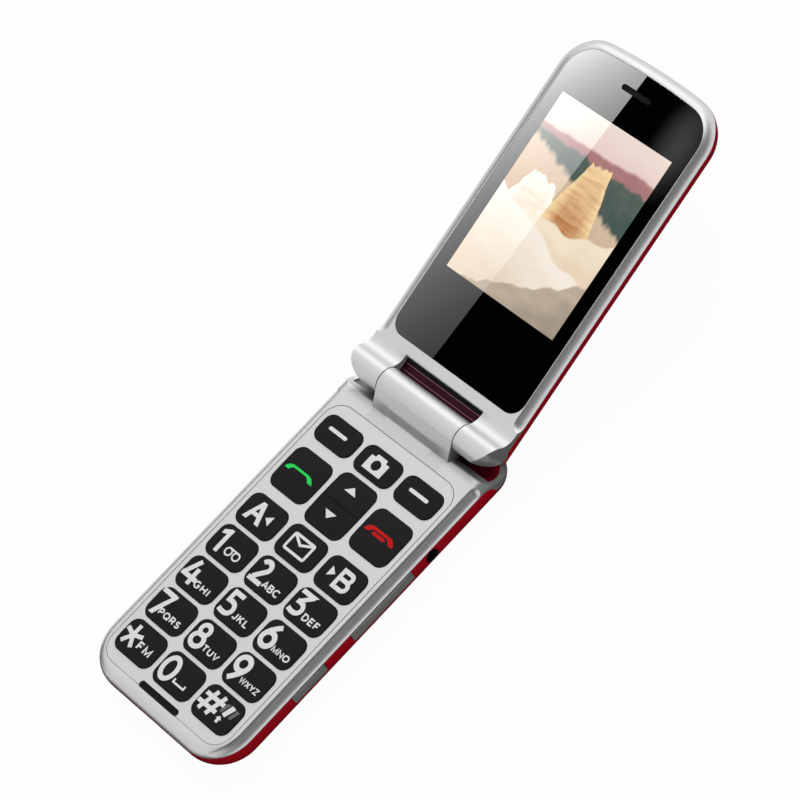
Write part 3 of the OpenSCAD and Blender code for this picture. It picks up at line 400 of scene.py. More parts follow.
# Painted shade in the channel under the barrel and the ears, on crimson_base, the rear housing's copy of
# the crimson: grey at its left end, dark in the middle and wine at its right end.
LEFT_END_SHADE, LEFT_DARK_SHADE, LEFT_PALE_SHADE = (0.10, 0.09, 0.092), (0.05, 0.045, 0.046), (0.28, 0.27, 0.272)
WINE_DARK_SHADE, WINE_SHADE = (0.016, 0.0014, 0.0030), (0.075, 0.003, 0.010)
for middle, half, colour, soft_from in (
    ((-0.0238, 0.0425, 0.0070), (0.0011, 0.0017, 0.0014), LEFT_END_SHADE, 0.80),
    ((-0.0115, 0.04265, 0.0059), (0.0121, 0.00435, 0.0041), LEFT_DARK_SHADE, 0.90),
    ((-0.0058, 0.0438, 0.0070), (0.0188, 0.0047, 0.0024), LEFT_DARK_SHADE, 0.90),
    ((0.0057, 0.04265, 0.0059), (0.0180, 0.00435, 0.0041), WINE_DARK_SHADE, 0.80),
    ((-0.0205, 0.0427, 0.0068), (0.0044, 0.0030, 0.0030), LEFT_PALE_SHADE, 0.30),
    ((0.0205, 0.0430, 0.0066), (0.0044, 0.0034, 0.0034), WINE_SHADE, 0.30),
):
    shade_inside(crimson_base, middle, half, colour, soft_from)
finish_node(crimson_base, "rear_housing")
finish_node(crimson_gloss, "battery_cover", "outer_shell")

# ---- Side keys and emergency key ----
# Grey and black caps, moulded in ABS with a fine spark texture. Each stands in its own opening of the
# rear housing.
cap_grey = finish_with("cap_grey", (0.24, 0.24, 0.235), 0.42, grain=5000, vary=0.10, bump=0.00001)
cap_black = finish_with("cap_black", (0.0105, 0.0100, 0.0108), 0.48, grain=5000, vary=0.12, bump=0.00001)
for cap in (cap_grey, cap_black):
    dull(cap, 0.10)
finish_node(cap_grey, "volume_rocker", "side_key")
finish_node(cap_black, "emergency_key")

# ---- Keys and their printed signs ----
# Satin black caps with a low crown. The signs are a thin layer of white, green or red ink that
# follows the crown. The signs' points are in millimetres, from the middle line of the keypad half
# and the height MESSAGE_Y on it.
MESSAGE_Y = 2.55
CROWN_R = 0.080
INK_PROUD, INK_DEEP = 0.02e-3, 0.05e-3
GRID, GRID_AT = 1.0, 0.37                        # the cuts that let the ink follow a crown
SAME_POINT = 1e-5
LETTER_WIDE, LETTER_FAT = 1.16, 1.10             # how much wider and bolder than the plain strokes


def ink(name, colour):
    """Matt screen ink."""
    mat = finish_with(name, colour, 0.5, grain=4000, vary=0.03)
    dull(mat, 0.1)
    return mat


ink_white = ink("ink_white", (0.86, 0.86, 0.86))
ink_green = ink("ink_green", (0.025, 0.78, 0.12))
ink_red = ink("ink_red", (0.60, 0.012, 0.014))
ink_grey = ink("ink_grey", (0.16, 0.155, 0.155))


def arc(x, y, rx, ry, start, end, steps=14):
    """Points on an arc, angles in degrees, anticlockwise from +X."""
    turn = [math.radians(start + (end - start) * i / steps) for i in range(steps + 1)]
    return [(x + rx * math.cos(a), y + ry * math.sin(a)) for a in turn]


def stroke(points, width, closed=False):
    """One pen stroke as a row of quads, mitred where it turns."""
    line = [Vector(p) for p in points]
    count = len(line)
    sides = []
    for i, here in enumerate(line):
        before = here - line[i - 1] if i or closed else None
        after = line[(i + 1) % count] - here if i < count - 1 or closed else None
        before = (before or after).normalized()
        after = (after or before).normalized()
        way = (before + after).normalized()
        reach = width / 2 / max(0.6, way.dot(after))
        side = Vector((-way.y, way.x)) * reach
        sides.append((here + side, here - side))
    ends = range(count) if closed else range(count - 1)
    return [[sides[i][0], sides[i][1], sides[(i + 1) % count][1], sides[(i + 1) % count][0]] for i in ends]


def ring(x, y, rx, ry, width):
    """A round or oval pen stroke."""
    return stroke(arc(x, y, rx, ry, 0, 360, 40)[:-1], width, closed=True)


def holed(outline, x, y, radius, steps=48):
    """An outline with a round hole, as quads from the hole to the outline."""
    middle = Vector((x, y))
    corners = [Vector(p) for p in outline]
    turns = sorted({2 * math.pi * i / steps for i in range(steps)} | {
        math.atan2(p.y - y, p.x - x) % (2 * math.pi) for p in corners})
    rays = []
    for turn in turns:
        way = Vector((math.cos(turn), math.sin(turn)))
        best = None
        for i, a in enumerate(corners):
            edge = corners[(i + 1) % len(corners)] - a
            cross = way.x * edge.y - way.y * edge.x
            if abs(cross) < 1e-9:
                continue
            gap = a - middle
            far = (gap.x * edge.y - gap.y * edge.x) / cross
            along = (gap.x * way.y - gap.y * way.x) / cross
            if far > 0 and -1e-6 <= along <= 1 + 1e-6 and (best is None or far < best):
                best = far
        rays.append((middle + way * radius, middle + way * best))
    return [[rays[i][0], rays[i][1], rays[(i + 1) % len(rays)][1], rays[(i + 1) % len(rays)][0]]
            for i in range(len(rays))]


# Small capitals as pen strokes in a box one unit high: width, strokes
LETTERS = {
    "A": (0.84, [[(0, 0), (0.42, 1), (0.84, 0)], [(0.15, 0.32), (0.69, 0.32)]]),
    "B": (0.68, [[(0, 0), (0, 1)] + arc(0.38, 0.76, 0.24, 0.24, 90, -90, 8) + [(0, 0.52)],
                 [(0, 0.52)] + arc(0.40, 0.26, 0.27, 0.26, 90, -90, 8) + [(0, 0)]]),
    "C": (0.80, [arc(0.46, 0.5, 0.46, 0.5, 48, 312)]),
    "D": (0.76, [[(0, 0), (0, 1)] + arc(0.30, 0.5, 0.46, 0.5, 90, -90) + [(0, 0)]]),
    "E": (0.60, [[(0.60, 1), (0, 1), (0, 0), (0.62, 0)], [(0, 0.52), (0.55, 0.52)]]),
    "F": (0.58, [[(0.58, 1), (0, 1), (0, 0)], [(0, 0.5), (0.5, 0.5)]]),
    "G": (0.86, [arc(0.46, 0.5, 0.46, 0.5, 48, 318) + [(0.84, 0.46), (0.52, 0.46)]]),
    "H": (0.74, [[(0, 0), (0, 1)], [(0.74, 0), (0.74, 1)], [(0, 0.5), (0.74, 0.5)]]),
    "I": (0.04, [[(0.02, 0), (0.02, 1)]]),
    "J": (0.48, [[(0.48, 1), (0.48, 0.28)] + arc(0.24, 0.26, 0.24, 0.26, 0, -165, 8)]),
    "K": (0.70, [[(0, 0), (0, 1)], [(0.66, 1), (0, 0.36)], [(0.24, 0.58), (0.70, 0)]]),
    "L": (0.56, [[(0, 1), (0, 0), (0.56, 0)]]),
    "M": (0.88, [[(0, 0), (0, 1), (0.44, 0.12), (0.88, 1), (0.88, 0)]]),
    "N": (0.74, [[(0, 0), (0, 1), (0.74, 0), (0.74, 1)]]),
    "O": (0.94, [arc(0.47, 0.5, 0.47, 0.5, 0, 360, 24)]),
    "P": (0.64, [[(0, 0), (0, 1)] + arc(0.38, 0.73, 0.26, 0.27, 90, -90, 8) + [(0, 0.46)]]),
    "Q": (0.96, [arc(0.47, 0.5, 0.47, 0.5, 0, 360, 24), [(0.56, 0.28), (0.94, -0.06)]]),
    "R": (0.68, [[(0, 0), (0, 1)] + arc(0.38, 0.73, 0.26, 0.27, 90, -90, 8) + [(0, 0.46)],
                 [(0.34, 0.46), (0.68, 0)]]),
    "S": (0.64, [arc(0.33, 0.755, 0.27, 0.245, 30, 255, 10) + arc(0.33, 0.255, 0.30, 0.255, 80, -150, 12)]),
    "T": (0.74, [[(0, 1), (0.74, 1)], [(0.37, 1), (0.37, 0)]]),
    "U": (0.72, [[(0, 1)] + arc(0.36, 0.33, 0.36, 0.33, 180, 360) + [(0.72, 1)]]),
    "V": (0.80, [[(0, 1), (0.40, 0), (0.80, 1)]]),
    "W": (1.10, [[(0, 1), (0.27, 0), (0.55, 1), (0.83, 0), (1.10, 1)]]),
    "X": (0.72, [[(0, 0), (0.72, 1)], [(0, 1), (0.72, 0)]]),
    "Y": (0.72, [[(0, 1), (0.36, 0.46), (0.72, 1)], [(0.36, 0.46), (0.36, 0)]]),
    "Z": (0.68, [[(0, 1), (0.68, 1), (0, 0), (0.70, 0)]]),
}


def capitals(word, x0, x1, low, high, pen):
    """A word in small capitals from x0 to x1, between two heights."""
    pen *= LETTER_FAT
    tall = high - low - pen
    widths = [LETTERS[c][0] * LETTER_WIDE for c in word]
    room_left = (x1 - x0 - pen * len(word)) / tall - sum(widths)
    step = room_left / max(1, len(word) - 1)
    quads, x = [], x0 + pen / 2
    for letter, width in zip(word, widths):
        for line in LETTERS[letter][1]:
            quads += stroke([(x + px * LETTER_WIDE * tall, low + pen / 2 + py * tall)
                             for px, py in line], pen)
        x += (width + step) * tall + pen
    return quads


def print_sign(name, key, quads, mat):
    """Lays the ink on a key: the union of the quads, cut by a grid so that it follows the crown."""
    corners, faces = [], []
    for quad in quads:
        area = sum(a[0] * b[1] - b[0] * a[1] for a, b in zip(quad, [*quad[1:], quad[0]]))
        quad = quad if area > 0 else quad[::-1]
        faces.append(list(range(len(corners), len(corners) + len(quad))))
        corners += [Vector(p) for p in quad]
    edges = []
    xs, ys = [c.x for c in corners], [c.y for c in corners]
    past = 0.1                                   # how far a cut runs past the sign
    for low, high, flip in ((min(xs), max(xs), False), (min(ys), max(ys), True)):
        across = xs if flip else ys
        other = (min(across) - past, max(across) + past)
        line = math.floor(low) + GRID_AT
        while line < high:
            ends = [(line, other[0]), (line, other[1])]
            edges.append((len(corners), len(corners) + 1))
            corners += [Vector(p[::-1] if flip else p) for p in ends]
            line += GRID
    points, _, triangles, _, _, sources = delaunay_2d_cdt(corners, edges, faces, 0, SAME_POINT)
    kept = [t for t, source in zip(triangles, sources) if source]
    used = sorted({i for t in kept for i in t})
    number = {old: new for new, old in enumerate(used)}
    low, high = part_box(key)
    top = Vector(((low.x + high.x) / 2, (low.y + high.y) / 2, high.z - CROWN_R))
    placed = []
    for i in used:
        x, y = points[i].x / 1000, (points[i].y + MESSAGE_Y) / 1000
        off = Vector((x, y)) - top.xy
        placed.append((x, y, top.z + math.sqrt(CROWN_R ** 2 - off.length_squared) + INK_PROUD))
    mesh = bpy.data.meshes.new(name)
    mesh.from_pydata(placed, [], [[number[i] for i in t] for t in kept])
    mesh.materials.append(mat)
    sign = link_active(name, mesh)
    bpy.ops.object.mode_set(mode="EDIT")
    bpy.ops.mesh.select_all(action="SELECT")
    bpy.ops.mesh.normals_make_consistent(inside=False)
    bpy.ops.object.mode_set(mode="OBJECT")
    if sum(p.normal.z for p in mesh.polygons) < 0:
        mesh.flip_normals()
    thicken(sign, INK_DEEP)
    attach(sign, key + "_body")


digits = {
    "key_1": [[(-17.85, -13.3), (-16.62, -13.3), (-16.62, -6.72), (-17.45, -6.72), (-19.4, -7.75),
               (-19.25, -8.85), (-17.85, -8.35)]],
    "key_2": stroke(arc(-3.1, -8.55, 1.43, 1.43, 158, -32) + [(-4.45, -12.2)], 1.3)
             + stroke([(-5.4, -12.72), (-0.95, -12.72)], 1.2)
             + [[(-5.4, -13.3), (-5.4, -12.3), (-3.3, -12.3), (-3.3, -13.3)]],
    "key_3": [[(8.85, -6.62), (14.15, -6.62), (12.75, -7.8), (8.85, -7.8)]]
             + stroke([(13.15, -7.05), (10.3, -9.75)], 1.15)
             + stroke([(9.6, -9.85), (10.9, -9.85)] + arc(11.05, -11.3, 1.5, 1.45, 90, -90)
                      + [(10.1, -12.75), (8.85, -12.45)], 1.2),
    "key_4": stroke([(-17.25, -17.0), (-19.5, -21.6)], 1.25)
             + stroke([(-20.15, -21.6), (-14.85, -21.6)], 1.15)
             + stroke([(-16.45, -18.9), (-16.45, -23.45)], 1.2),
    "key_5": stroke([(-1.3, -17.38), (-4.5, -17.38), (-4.5, -19.75), (-3.25, -19.7)]
                    + arc(-3.2, -21.35, 1.62, 1.62, 88, -90) + [(-4.2, -22.95), (-5.35, -22.7)], 1.22),
    "key_6": ring(11.05, -21.25, 1.84, 1.84, 1.36)
             + stroke([(12.25, -17.0), (11.1, -18.0), (10.1, -19.1), (9.45, -20.2), (9.2, -21.2)], 1.35),
    "key_7": stroke([(-20.1, -27.55), (-15.75, -27.55)], 1.22)
             + [[(-16.6, -27.4), (-15.1, -26.95), (-15.1, -27.6), (-17.85, -33.9), (-19.3, -33.9),
                 (-16.5, -27.9)]],
    "key_8": ring(-3.2, -28.85, 1.42, 1.38, 1.2) + ring(-3.2, -31.75, 1.83, 1.66, 1.25),
    "key_9": ring(11.1, -29.15, 1.84, 1.84, 1.36)
             + stroke([(9.9, -33.8), (11.1, -32.6), (12.1, -31.3), (12.7, -30.2), (12.95, -29.15)], 1.35),
    "star_key": [quad for x, y in ((-17.35, -37.55), (-14.55, -39.6), (-15.6, -43.25), (-19.1, -43.25),
                                   (-20.15, -39.6))
                 for quad in stroke([(-17.35, -40.5), (x, y)], 1.12)],
    "key_0": ring(-3.2, -40.75, 1.98, 2.9, 1.28),
    "hash_key": stroke([(8.8, -39.3), (15.25, -39.3)], 1.08) + stroke([(8.25, -41.7), (14.7, -41.7)], 1.08)
                + stroke([(11.45, -37.5), (9.95, -43.4)], 1.15)
                + stroke([(14.2, -37.5), (12.6, -43.4)], 1.15),
}
seconds = {
    "key_1": ring(-14.0, -11.35, 0.98, 0.98, 0.44) + ring(-11.35, -11.35, 0.98, 0.98, 0.44)
             + stroke([(-14.0, -10.38), (-11.35, -10.38)], 0.42),
    "key_2": capitals("ABC", -0.75, 5.0, -12.95, -10.95, 0.38),
    "key_3": capitals("DEF", 13.85, 19.3, -12.95, -10.98, 0.38),
    "key_4": capitals("GHI", -14.95, -9.75, -22.95, -20.95, 0.38),
    "key_5": capitals("JKL", -0.6, 4.6, -22.85, -20.85, 0.38),
    "key_6": capitals("MNO", 13.75, 19.5, -22.95, -21.15, 0.36),
    "key_7": capitals("PQRS", -16.75, -9.4, -33.1, -31.25, 0.36),
    "key_8": capitals("TUV", -0.6, 4.9, -33.05, -31.2, 0.36),
    "key_9": capitals("WXYZ", 13.15, 19.5, -33.05, -31.4, 0.33),
    "star_key": capitals("FM", -14.4, -9.8, -42.65, -40.3, 0.46),
    "key_0": stroke([(0.1, -41.7), (0.1, -42.65), (3.65, -42.65), (3.65, -41.7)], 0.5),
    "hash_key": [[(17.0, -37.95), (18.35, -38.25), (17.25, -41.3), (16.1, -40.95)]]
                + [[(16.35, -41.55), (17.25, -42.4), (16.75, -42.4), (16.75, -43.4), (15.95, -43.4),
                    (15.95, -42.4), (15.45, -42.4)]],
}
for key in digits:
    print_sign("sign_" + key, key, digits[key] + seconds[key], ink_white)
print_sign("sign_ringing", "hash_key", [
    [(15.55, -38.3), (16.6, -38.1), (15.7, -40.9), (14.95, -40.7)],
    [(18.75, -38.2), (19.65, -38.3), (18.9, -40.9), (18.0, -40.8)]], ink_grey)
for name, key, x0, x1 in (("sign_left_soft", "left_soft_key", -17.3, -11.95),
                          ("sign_right_soft", "right_soft_key", 11.5, 17.0)):
    print_sign(name, key, stroke([(x0, 26.55), (x1, 26.55)], 0.95)
               + [arc(x0, 26.55, 0.475, 0.475, 90, 270), arc(x1, 26.55, 0.475, 0.475, -90, 90)], ink_white)
print_sign("sign_camera", "camera_key", holed(
    [(-3.4, 23.85), (2.8, 23.85), (2.8, 27.65), (1.55, 27.65), (1.3, 28.55), (-1.9, 28.55), (-2.15, 27.65),
     (-3.4, 27.65)], -0.3, 26.0, 1.35), ink_white)
print_sign("sign_call", "call_key", [
    [(-19.55, 12.75), (-19.2, 13.5), (-18.5, 14.1), (-17.6, 14.4), (-12.1, 14.4), (-11.15, 14.1),
     (-10.4, 13.5), (-9.75, 12.75), (-11.3, 12.72), (-11.8, 13.3), (-12.6, 13.8), (-17.1, 13.8),
     (-17.75, 13.3), (-18.1, 12.72)]], ink_green)
print_sign("sign_end", "end_key", [
    [(9.05, 12.9), (9.4, 13.7), (10.1, 14.35), (11.0, 14.7), (17.1, 14.7), (17.9, 14.35), (18.6, 13.7),
     (19.0, 12.9), (17.55, 12.85), (17.0, 13.45), (16.2, 13.95), (11.85, 13.95), (11.1, 13.45),
     (10.6, 12.85)],
    [(11.7, 13.15), (12.2, 13.6), (15.8, 13.6), (16.3, 13.15), (15.8, 12.75), (12.2, 12.75)]], ink_red)
print_sign("sign_up", "nav_key", [[(-0.33, 18.85), (-2.25, 17.0), (1.6, 17.0)]], ink_white)
print_sign("sign_down", "nav_key", [[(-0.5, 9.05), (1.4, 10.95), (-2.4, 10.95)]], ink_white)
print_sign("sign_memory_a", "memory_a_key", [
    [(-18.7, -2.65), (-17.25, -2.65), (-16.75, -1.05), (-14.55, -1.05), (-14.35, 0.0), (-16.45, 0.0),
     (-15.7, 1.35), (-15.1, 3.05), (-16.35, 3.05)],
    [(-15.7, 3.05), (-15.1, 3.05), (-12.85, -2.65), (-14.25, -2.65), (-15.75, 1.35)],
    [(-12.95, 0.25), (-11.05, 1.6), (-11.05, -1.1)]], ink_white)
print_sign("sign_memory_b", "memory_b_key", [[(12.4, 0.2), (10.45, 1.6), (10.45, -1.2)]]
           + stroke([(13.85, -2.15), (13.85, 2.4), (16.2, 2.4)] + arc(16.2, 1.35, 0.95, 1.05, 80, -80, 8)
                    + [(16.0, 0.28), (13.85, 0.28)], 1.1)
           + stroke([(13.85, 0.28), (16.3, 0.28)] + arc(16.3, -0.95, 1.25, 1.2, 80, -80, 8)
                    + [(16.2, -2.15), (13.85, -2.15)], 1.1)
           + [[(13.3, -2.7), (14.4, -2.7), (14.4, 2.95), (13.3, 2.95)]], ink_white)
envelope = [point for x, y, start in ((-3.3, 1.8, 180), (2.75, 1.8, 90), (2.75, -1.9, 0), (-3.3, -1.9, -90))
            for point in arc(x, y, 0.35, 0.35, start, start - 90, 5)]
print_sign("sign_message", "message_key", stroke(envelope, 0.72, closed=True)
           + stroke([(-3.45, 1.95), (-0.3, 0.25), (2.9, 1.95)], 0.68), ink_white)
finish_node(cap_black, "left_soft_key", "camera_key", "right_soft_key", "call_key", "nav_key", "end_key",
            "memory_a_key", "message_key", "memory_b_key", "star_key", "hash_key",
            *["key_%d" % i for i in range(10)])

# ---- Window and picture ----
# A clear acrylic pane with a black border printed behind it, and the lit picture. The picture is a
# plain made-up landscape: pale sky, mauve hills, a dark green wood, ochre reeds and cream dunes.
# Lengths are the lid's own: X across, Y to its free end, Z out of the screen.
HINGE_AT, SCREEN_DOWN = (0, 0.04595, 0.01195), 0.00065
LID = (Matrix.Translation(HINGE_AT) @ Matrix.Rotation(LID_TILT, 4, "X")
       @ Matrix.Translation((0, 0, -SCREEN_DOWN)))
PICTURE_W, PICTURE_H, PICTURE_Y = 0.03672, 0.04896, 0.0546
PICTURE_UP = 0.00002                             # over the pane
pane_black = finish_with("pane_black", (0.0009, 0.0009, 0.001), 0.03, grain=500, vary=0.1)
pane_gloss = pane_black.node_tree.nodes["Principled BSDF"].inputs["Roughness"]
pane_black.node_tree.links.remove(pane_gloss.links[0])
pane_gloss.default_value = 0.0                   # a true mirror, as polished as glass
finish_node(pane_black, "window")

bpy.ops.mesh.primitive_plane_add(size=1)
picture = bpy.context.object
picture.name = "picture"
picture.data.transform(LID @ Matrix.Translation((0, PICTURE_Y, PICTURE_UP))
                       @ Matrix.Diagonal((PICTURE_W, PICTURE_H, 1, 1)))
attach(picture, "lid")

lit_picture = bpy.data.materials.new("lit_picture")
lit_picture.use_nodes = True
tree = lit_picture.node_tree
shader = tree.nodes["Principled BSDF"]
shader.inputs["Base Color"].default_value = (0, 0, 0, 1)
shader.inputs["Roughness"].default_value = 0.0
shader.inputs["Emission Strength"].default_value = 1.0
place = tree.nodes.new("ShaderNodeTexCoord")
across = tree.nodes.new("ShaderNodeMapping")     # into the picture's own plane, in half widths
back = (LID @ Matrix.Translation((0, PICTURE_Y, 0))).inverted()
across.inputs["Rotation"].default_value = back.to_euler()
across.inputs["Location"].default_value = [c / (PICTURE_W / 2) for c in back.translation]
across.inputs["Scale"].default_value = [1 / (PICTURE_W / 2)] * 3
tree.links.new(place.outputs["Object"], across.inputs["Vector"])
split = tree.nodes.new("ShaderNodeSeparateXYZ")
tree.links.new(across.outputs[0], split.inputs[0])


def sums(operation, a, b):
    """A Math node on two sockets or numbers."""
    node = tree.nodes.new("ShaderNodeMath")
    node.operation = operation
    for socket, value in zip(node.inputs, (a, b)):
        if isinstance(value, (int, float)):
            socket.default_value = value
        else:
            tree.links.new(value, socket)
    return node.outputs[0]


def waver(scale, detail, stretch=(1, 1, 1)):
    """Noise round zero, over the picture's plane."""
    bend = tree.nodes.new("ShaderNodeMapping")
    bend.inputs["Scale"].default_value = stretch
    tree.links.new(across.outputs[0], bend.inputs["Vector"])
    noise = tree.nodes.new("ShaderNodeTexNoise")
    noise.inputs["Scale"].default_value = scale
    noise.inputs["Detail"].default_value = detail
    tree.links.new(bend.outputs[0], noise.inputs["Vector"])
    return sums("SUBTRACT", noise.outputs["Fac"], 0.5)


def wash(under, colours, height, slope, sway, soft, mottle):
    """One layer of the landscape below a wavering skyline."""
    skyline = sums("ADD", sums("ADD", sums("MULTIPLY", split.outputs["X"], slope), height), sway)
    depth = sums("SUBTRACT", skyline, split.outputs["Y"])
    mask = tree.nodes.new("ShaderNodeMapRange")
    mask.interpolation_type = "SMOOTHSTEP"
    mask.inputs["From Min"].default_value = -soft
    mask.inputs["From Max"].default_value = soft
    tree.links.new(depth, mask.inputs["Value"])
    tone = tree.nodes.new("ShaderNodeValToRGB")
    tone.color_ramp.elements[0].color = (*colours[0], 1)
    tone.color_ramp.elements[1].color = (*colours[1], 1)
    tree.links.new(sums("ADD", depth, mottle), tone.inputs["Fac"])
    mix = tree.nodes.new("ShaderNodeMix")
    mix.data_type = "RGBA"
    tree.links.new(mask.outputs["Result"], mix.inputs["Factor"])
    tree.links.new(under, mix.inputs["A"])
    tree.links.new(tone.outputs["Color"], mix.inputs["B"])
    return mix.outputs["Result"]


def rock(middle, half, steep, rough):
    """How far a flat-topped rock's skyline falls on both sides of its top."""
    off = sums("ABSOLUTE", sums("SUBTRACT", split.outputs["X"], middle), 0.0)
    fall = sums("MULTIPLY", sums("MAXIMUM", sums("SUBTRACT", off, half), 0.0), -steep)
    return sums("ADD", fall, sums("MULTIPLY", waver(7, 4, (1, 0.35, 1)), rough))


sky = tree.nodes.new("ShaderNodeValToRGB")
sky.color_ramp.elements[0].color = (0.80, 0.60, 0.55, 1)
sky.color_ramp.elements[1].color = (0.86, 0.74, 0.66, 1)
height = sums("MULTIPLY", sums("SUBTRACT", split.outputs["Y"], 0.8), 1.6)
tree.links.new(sums("ADD", height, waver(1.6, 4, (0.5, 1.5, 1))), sky.inputs["Fac"])
scene_now = sky.outputs["Color"]
for colours, height, slope, sway, soft, mottle in (
    # far hills
    (((0.42, 0.20, 0.20), (0.30, 0.16, 0.17)), 0.92, 0.02,
     sums("MULTIPLY", waver(2.2, 2, (1, 0, 1)), 0.16), 0.03, waver(5, 3)),
    # wooded hills
    (((0.10, 0.13, 0.11), (0.035, 0.07, 0.065)), 0.78, -0.03,
     sums("MULTIPLY", waver(6, 4, (1, 0.1, 1)), 0.20), 0.03, waver(7, 4)),
    # dry grass
    (((0.66, 0.50, 0.36), (0.55, 0.36, 0.22)), 0.42, -0.30,
     sums("MULTIPLY", waver(9, 5, (1, 0.3, 1)), 0.22), 0.05, waver(12, 4, (2.5, 0.6, 1))),
    # a pale and a golden table rock
    (((0.95, 0.88, 0.76), (0.62, 0.45, 0.31)), 0.30, 0.0,
     rock(-0.48, 0.20, 2.2, 0.28), 0.02, sums("MULTIPLY", waver(3.0, 5, (0.5, 4, 1)), 1.2)),
    (((0.93, 0.68, 0.38), (0.50, 0.21, 0.08)), 0.80, 0.0,
     rock(0.19, 0.17, 3.8, 0.36), 0.02, sums("MULTIPLY", waver(3.4, 5, (0.6, 4, 1)), 1.5)),
    # dunes
    (((0.90, 0.78, 0.60), (0.72, 0.55, 0.38)), -0.12, 0.10,
     sums("MULTIPLY", waver(1.3, 1, (1, 0, 1)), 0.9), 0.02, waver(2.6, 5, (0.8, 2.2, 1))),
    (((0.92, 0.84, 0.74), (0.80, 0.66, 0.52)), -0.34, -0.30,
     sums("MULTIPLY", waver(1.1, 1, (1, 0, 1)), 0.9), 0.015, waver(2.2, 5, (0.8, 2.4, 1))),
    # ground in the shade
    (((0.52, 0.43, 0.33), (0.25, 0.20, 0.17)), -1.05, 0.42,
     sums("MULTIPLY", waver(1.7, 2, (1, 0, 1)), 0.6), 0.02, waver(3.0, 5, (0.8, 2.0, 1))),
):
    scene_now = wash(scene_now, colours, height, slope, sway, soft, mottle)
tree.links.new(scene_now, shader.inputs["Emission Color"])
picture.data.materials.append(lit_picture)

# ---- Painted shade in the slot behind the barrel ----
# A dark wine tray between the ears, over the lid's shelf, that stands in for the shade deep in the slot:
# painted shade. It has two fine ridges, pale as painted highlights along them, and on its screen side a
# black strip of painted shadow. It turns with the lid.
slot_wine = finish_with("slot_wine", (0.034, 0.0040, 0.011), 0.45, grain=6000, vary=0.25)
slot_line = finish_with("slot_line", (0.40, 0.19, 0.22), 0.40, grain=6000, vary=0.25)
for mat in (slot_wine, slot_line):
    dull(mat, 0.10)
TRAY_X, TRAY_LOW, TRAY_TOP = 0.01361, -0.00194, -0.00125
TRAY_Y = (0.0030, 0.00712)
tray_bars = (                                    # name, low corner, high corner, material
    ("slot_shade_tray", (-TRAY_X, TRAY_Y[0], TRAY_LOW), (TRAY_X, TRAY_Y[1], TRAY_LOW + 0.00010), slot_wine),
    ("slot_shade_tray_end", (-TRAY_X, TRAY_Y[0], TRAY_LOW), (-TRAY_X + 0.00008, TRAY_Y[1], TRAY_TOP), slot_wine),
    ("slot_shade_tray_end", (TRAY_X - 0.00008, TRAY_Y[0], TRAY_LOW), (TRAY_X, TRAY_Y[1], TRAY_TOP), slot_wine),
    # Two fine ridges, pale pink as painted highlights.
    ("slot_ridge", (-TRAY_X, 0.00415, TRAY_LOW), (TRAY_X, 0.00427, TRAY_LOW + 0.00032), slot_line),
    ("slot_ridge", (-TRAY_X, 0.00590, TRAY_LOW), (TRAY_X, 0.00602, TRAY_LOW + 0.00026), slot_line),
    # A black strip of painted shadow on the screen side.
    ("slot_black_shadow", (-TRAY_X, 0.00620, TRAY_LOW), (TRAY_X, TRAY_Y[1], TRAY_LOW + 0.00030), mesh_black),
)
for name, low, high, mat in tray_bars:
    low, high = Vector(low), Vector(high)
    bpy.ops.mesh.primitive_cube_add(size=1)
    bar = bpy.context.object
    bar.name = name
    bar.data.transform(LID @ Matrix.Translation((low + high) / 2) @ Matrix.Diagonal((*(high - low), 1)))
    bar.data.materials.append(mat)
    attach(bar, "lid")

# ---- Camera window and flash of the lid's outer side ----
# A dark pane over the camera and a frosted lens over the flash. Both are moulded, and sit in holes of
# the outer shell.
lens_dark = finish_with("lens_dark", (0.006, 0.006, 0.008), 0.05, grain=800, vary=0.2)
lens_frosted = finish_with("lens_frosted", (0.82, 0.82, 0.76), 0.35, grain=5000, vary=0.05, bump=0.00002)
finish_node(lens_dark, "camera_window")
finish_node(lens_frosted, "flash_lens")

# ---- Studio card ----
# A card over the lid, which only the pane mirrors: black, with one bright slanted side and a soft
# glow near its far right corner. Places on the pane are in centimetres from the picture's middle.
CARD_UP = 0.30
CARD_LOW, CARD_HIGH = (-0.030, 0.000), (0.030, 0.105)     # places on the lid, past the pane's edges
EDGE_SLOPE, EDGE_AT, SIDE_STRENGTH = 0.072, -0.355, 2.9
FALL_UP, FALL_RIGHT = 0.42, -0.62                # how many times the bright side doubles in a centimetre
HALO_AT, HALO_WIDE, HALO_HIGH, HALO_STRENGTH = (1.75, 2.85), 0.85, 1.7, 1.1
eye = LID.inverted() @ CAMERA_AT
SPREAD = 1 + CARD_UP / eye.z


def mirrored(x, y):
    """Where the card shows at a place on the pane."""
    return Vector((eye.x + (x - eye.x) * SPREAD, eye.y + (y - eye.y) * SPREAD, CARD_UP))


card_low, card_high = mirrored(*CARD_LOW), mirrored(*CARD_HIGH)
bpy.ops.mesh.primitive_plane_add(size=1)
card = bpy.context.object
card.name = "studio_card"
card.data.transform(Matrix.Translation(((card_low + card_high) / 2))
                    @ Matrix.Diagonal((*(card_high - card_low).xy, 1, 1)))
card.matrix_world = LID
only_mirrored(card)
card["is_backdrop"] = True
card_light = bpy.data.materials.new("card_light")
card_light.use_nodes = True
tree = card_light.node_tree
tree.nodes.clear()
place = tree.nodes.new("ShaderNodeTexCoord")
onto = tree.nodes.new("ShaderNodeMapping")       # back to the pane's own places, in centimetres
onto.inputs["Scale"].default_value = [100 / SPREAD] * 3
shift = 100 * (SPREAD - 1) / SPREAD
onto.inputs["Location"].default_value = (shift * eye.x, shift * eye.y - 100 * PICTURE_Y, 0)
tree.links.new(place.outputs["Object"], onto.inputs["Vector"])
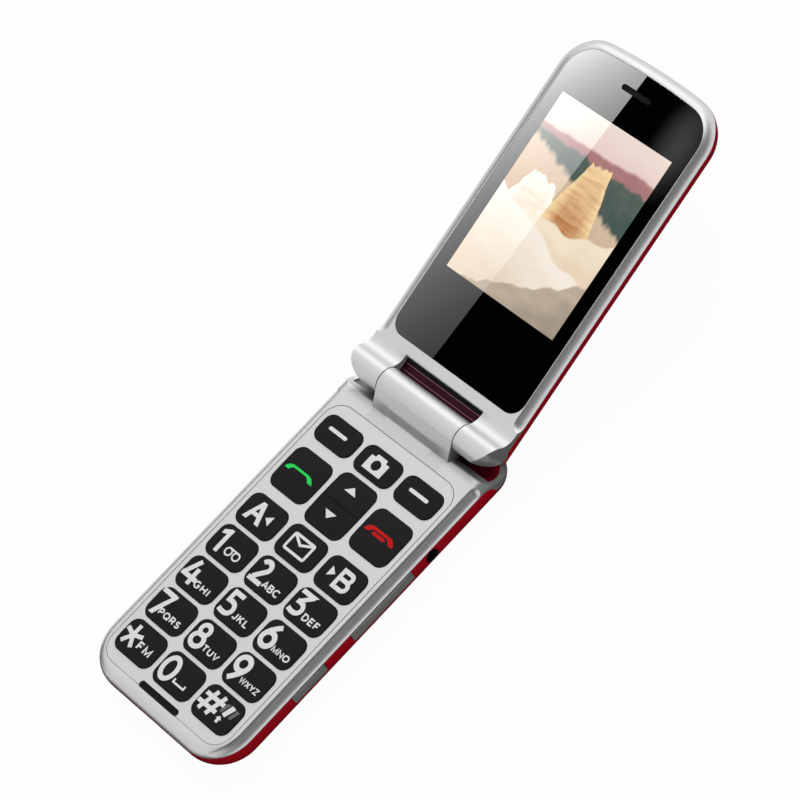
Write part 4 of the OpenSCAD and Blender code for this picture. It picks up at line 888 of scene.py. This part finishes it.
split = tree.nodes.new("ShaderNodeSeparateXYZ")
tree.links.new(onto.outputs[0], split.inputs[0])
edge_x = sums("ADD", sums("MULTIPLY", split.outputs["Y"], EDGE_SLOPE), EDGE_AT)
side = sums("LESS_THAN", split.outputs["X"], edge_x)
doublings = sums("ADD", sums("MULTIPLY", split.outputs["Y"], FALL_UP),
                 sums("MULTIPLY", split.outputs["X"], FALL_RIGHT))
fall = sums("POWER", 2.0, doublings)
light = sums("MULTIPLY", sums("MULTIPLY", side, fall), SIDE_STRENGTH)
far = tree.nodes.new("ShaderNodeMapping")
far.inputs["Location"].default_value = (-HALO_AT[0] / HALO_WIDE, -HALO_AT[1] / HALO_HIGH, 0)
far.inputs["Scale"].default_value = (1 / HALO_WIDE, 1 / HALO_HIGH, 0)
tree.links.new(onto.outputs[0], far.inputs["Vector"])
reach = tree.nodes.new("ShaderNodeVectorMath")
reach.operation = "LENGTH"
tree.links.new(far.outputs[0], reach.inputs[0])
halo = tree.nodes.new("ShaderNodeMapRange")
halo.interpolation_type = "SMOOTHSTEP"
halo.inputs["From Min"].default_value = 0.0
halo.inputs["From Max"].default_value = 1.0
halo.inputs["To Min"].default_value = HALO_STRENGTH
halo.inputs["To Max"].default_value = 0.0
tree.links.new(reach.outputs["Value"], halo.inputs["Value"])
light = sums("ADD", light, sums("MULTIPLY", halo.outputs["Result"], sums("SUBTRACT", 1.0, side)))
glow = tree.nodes.new("ShaderNodeEmission")
tree.links.new(light, glow.inputs["Strength"])
path = tree.nodes.new("ShaderNodeLightPath")
clear = tree.nodes.new("ShaderNodeBsdfTransparent")
mix = tree.nodes.new("ShaderNodeMixShader")      # sharp mirrors only, so that satin paint never sees it
tree.links.new(path.outputs["Is Singular Ray"], mix.inputs[0])
tree.links.new(clear.outputs[0], mix.inputs[1])
tree.links.new(glow.outputs[0], mix.inputs[2])
out = tree.nodes.new("ShaderNodeOutputMaterial")
tree.links.new(mix.outputs[0], out.inputs[0])
card.data.materials.append(card_light)

low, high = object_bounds()
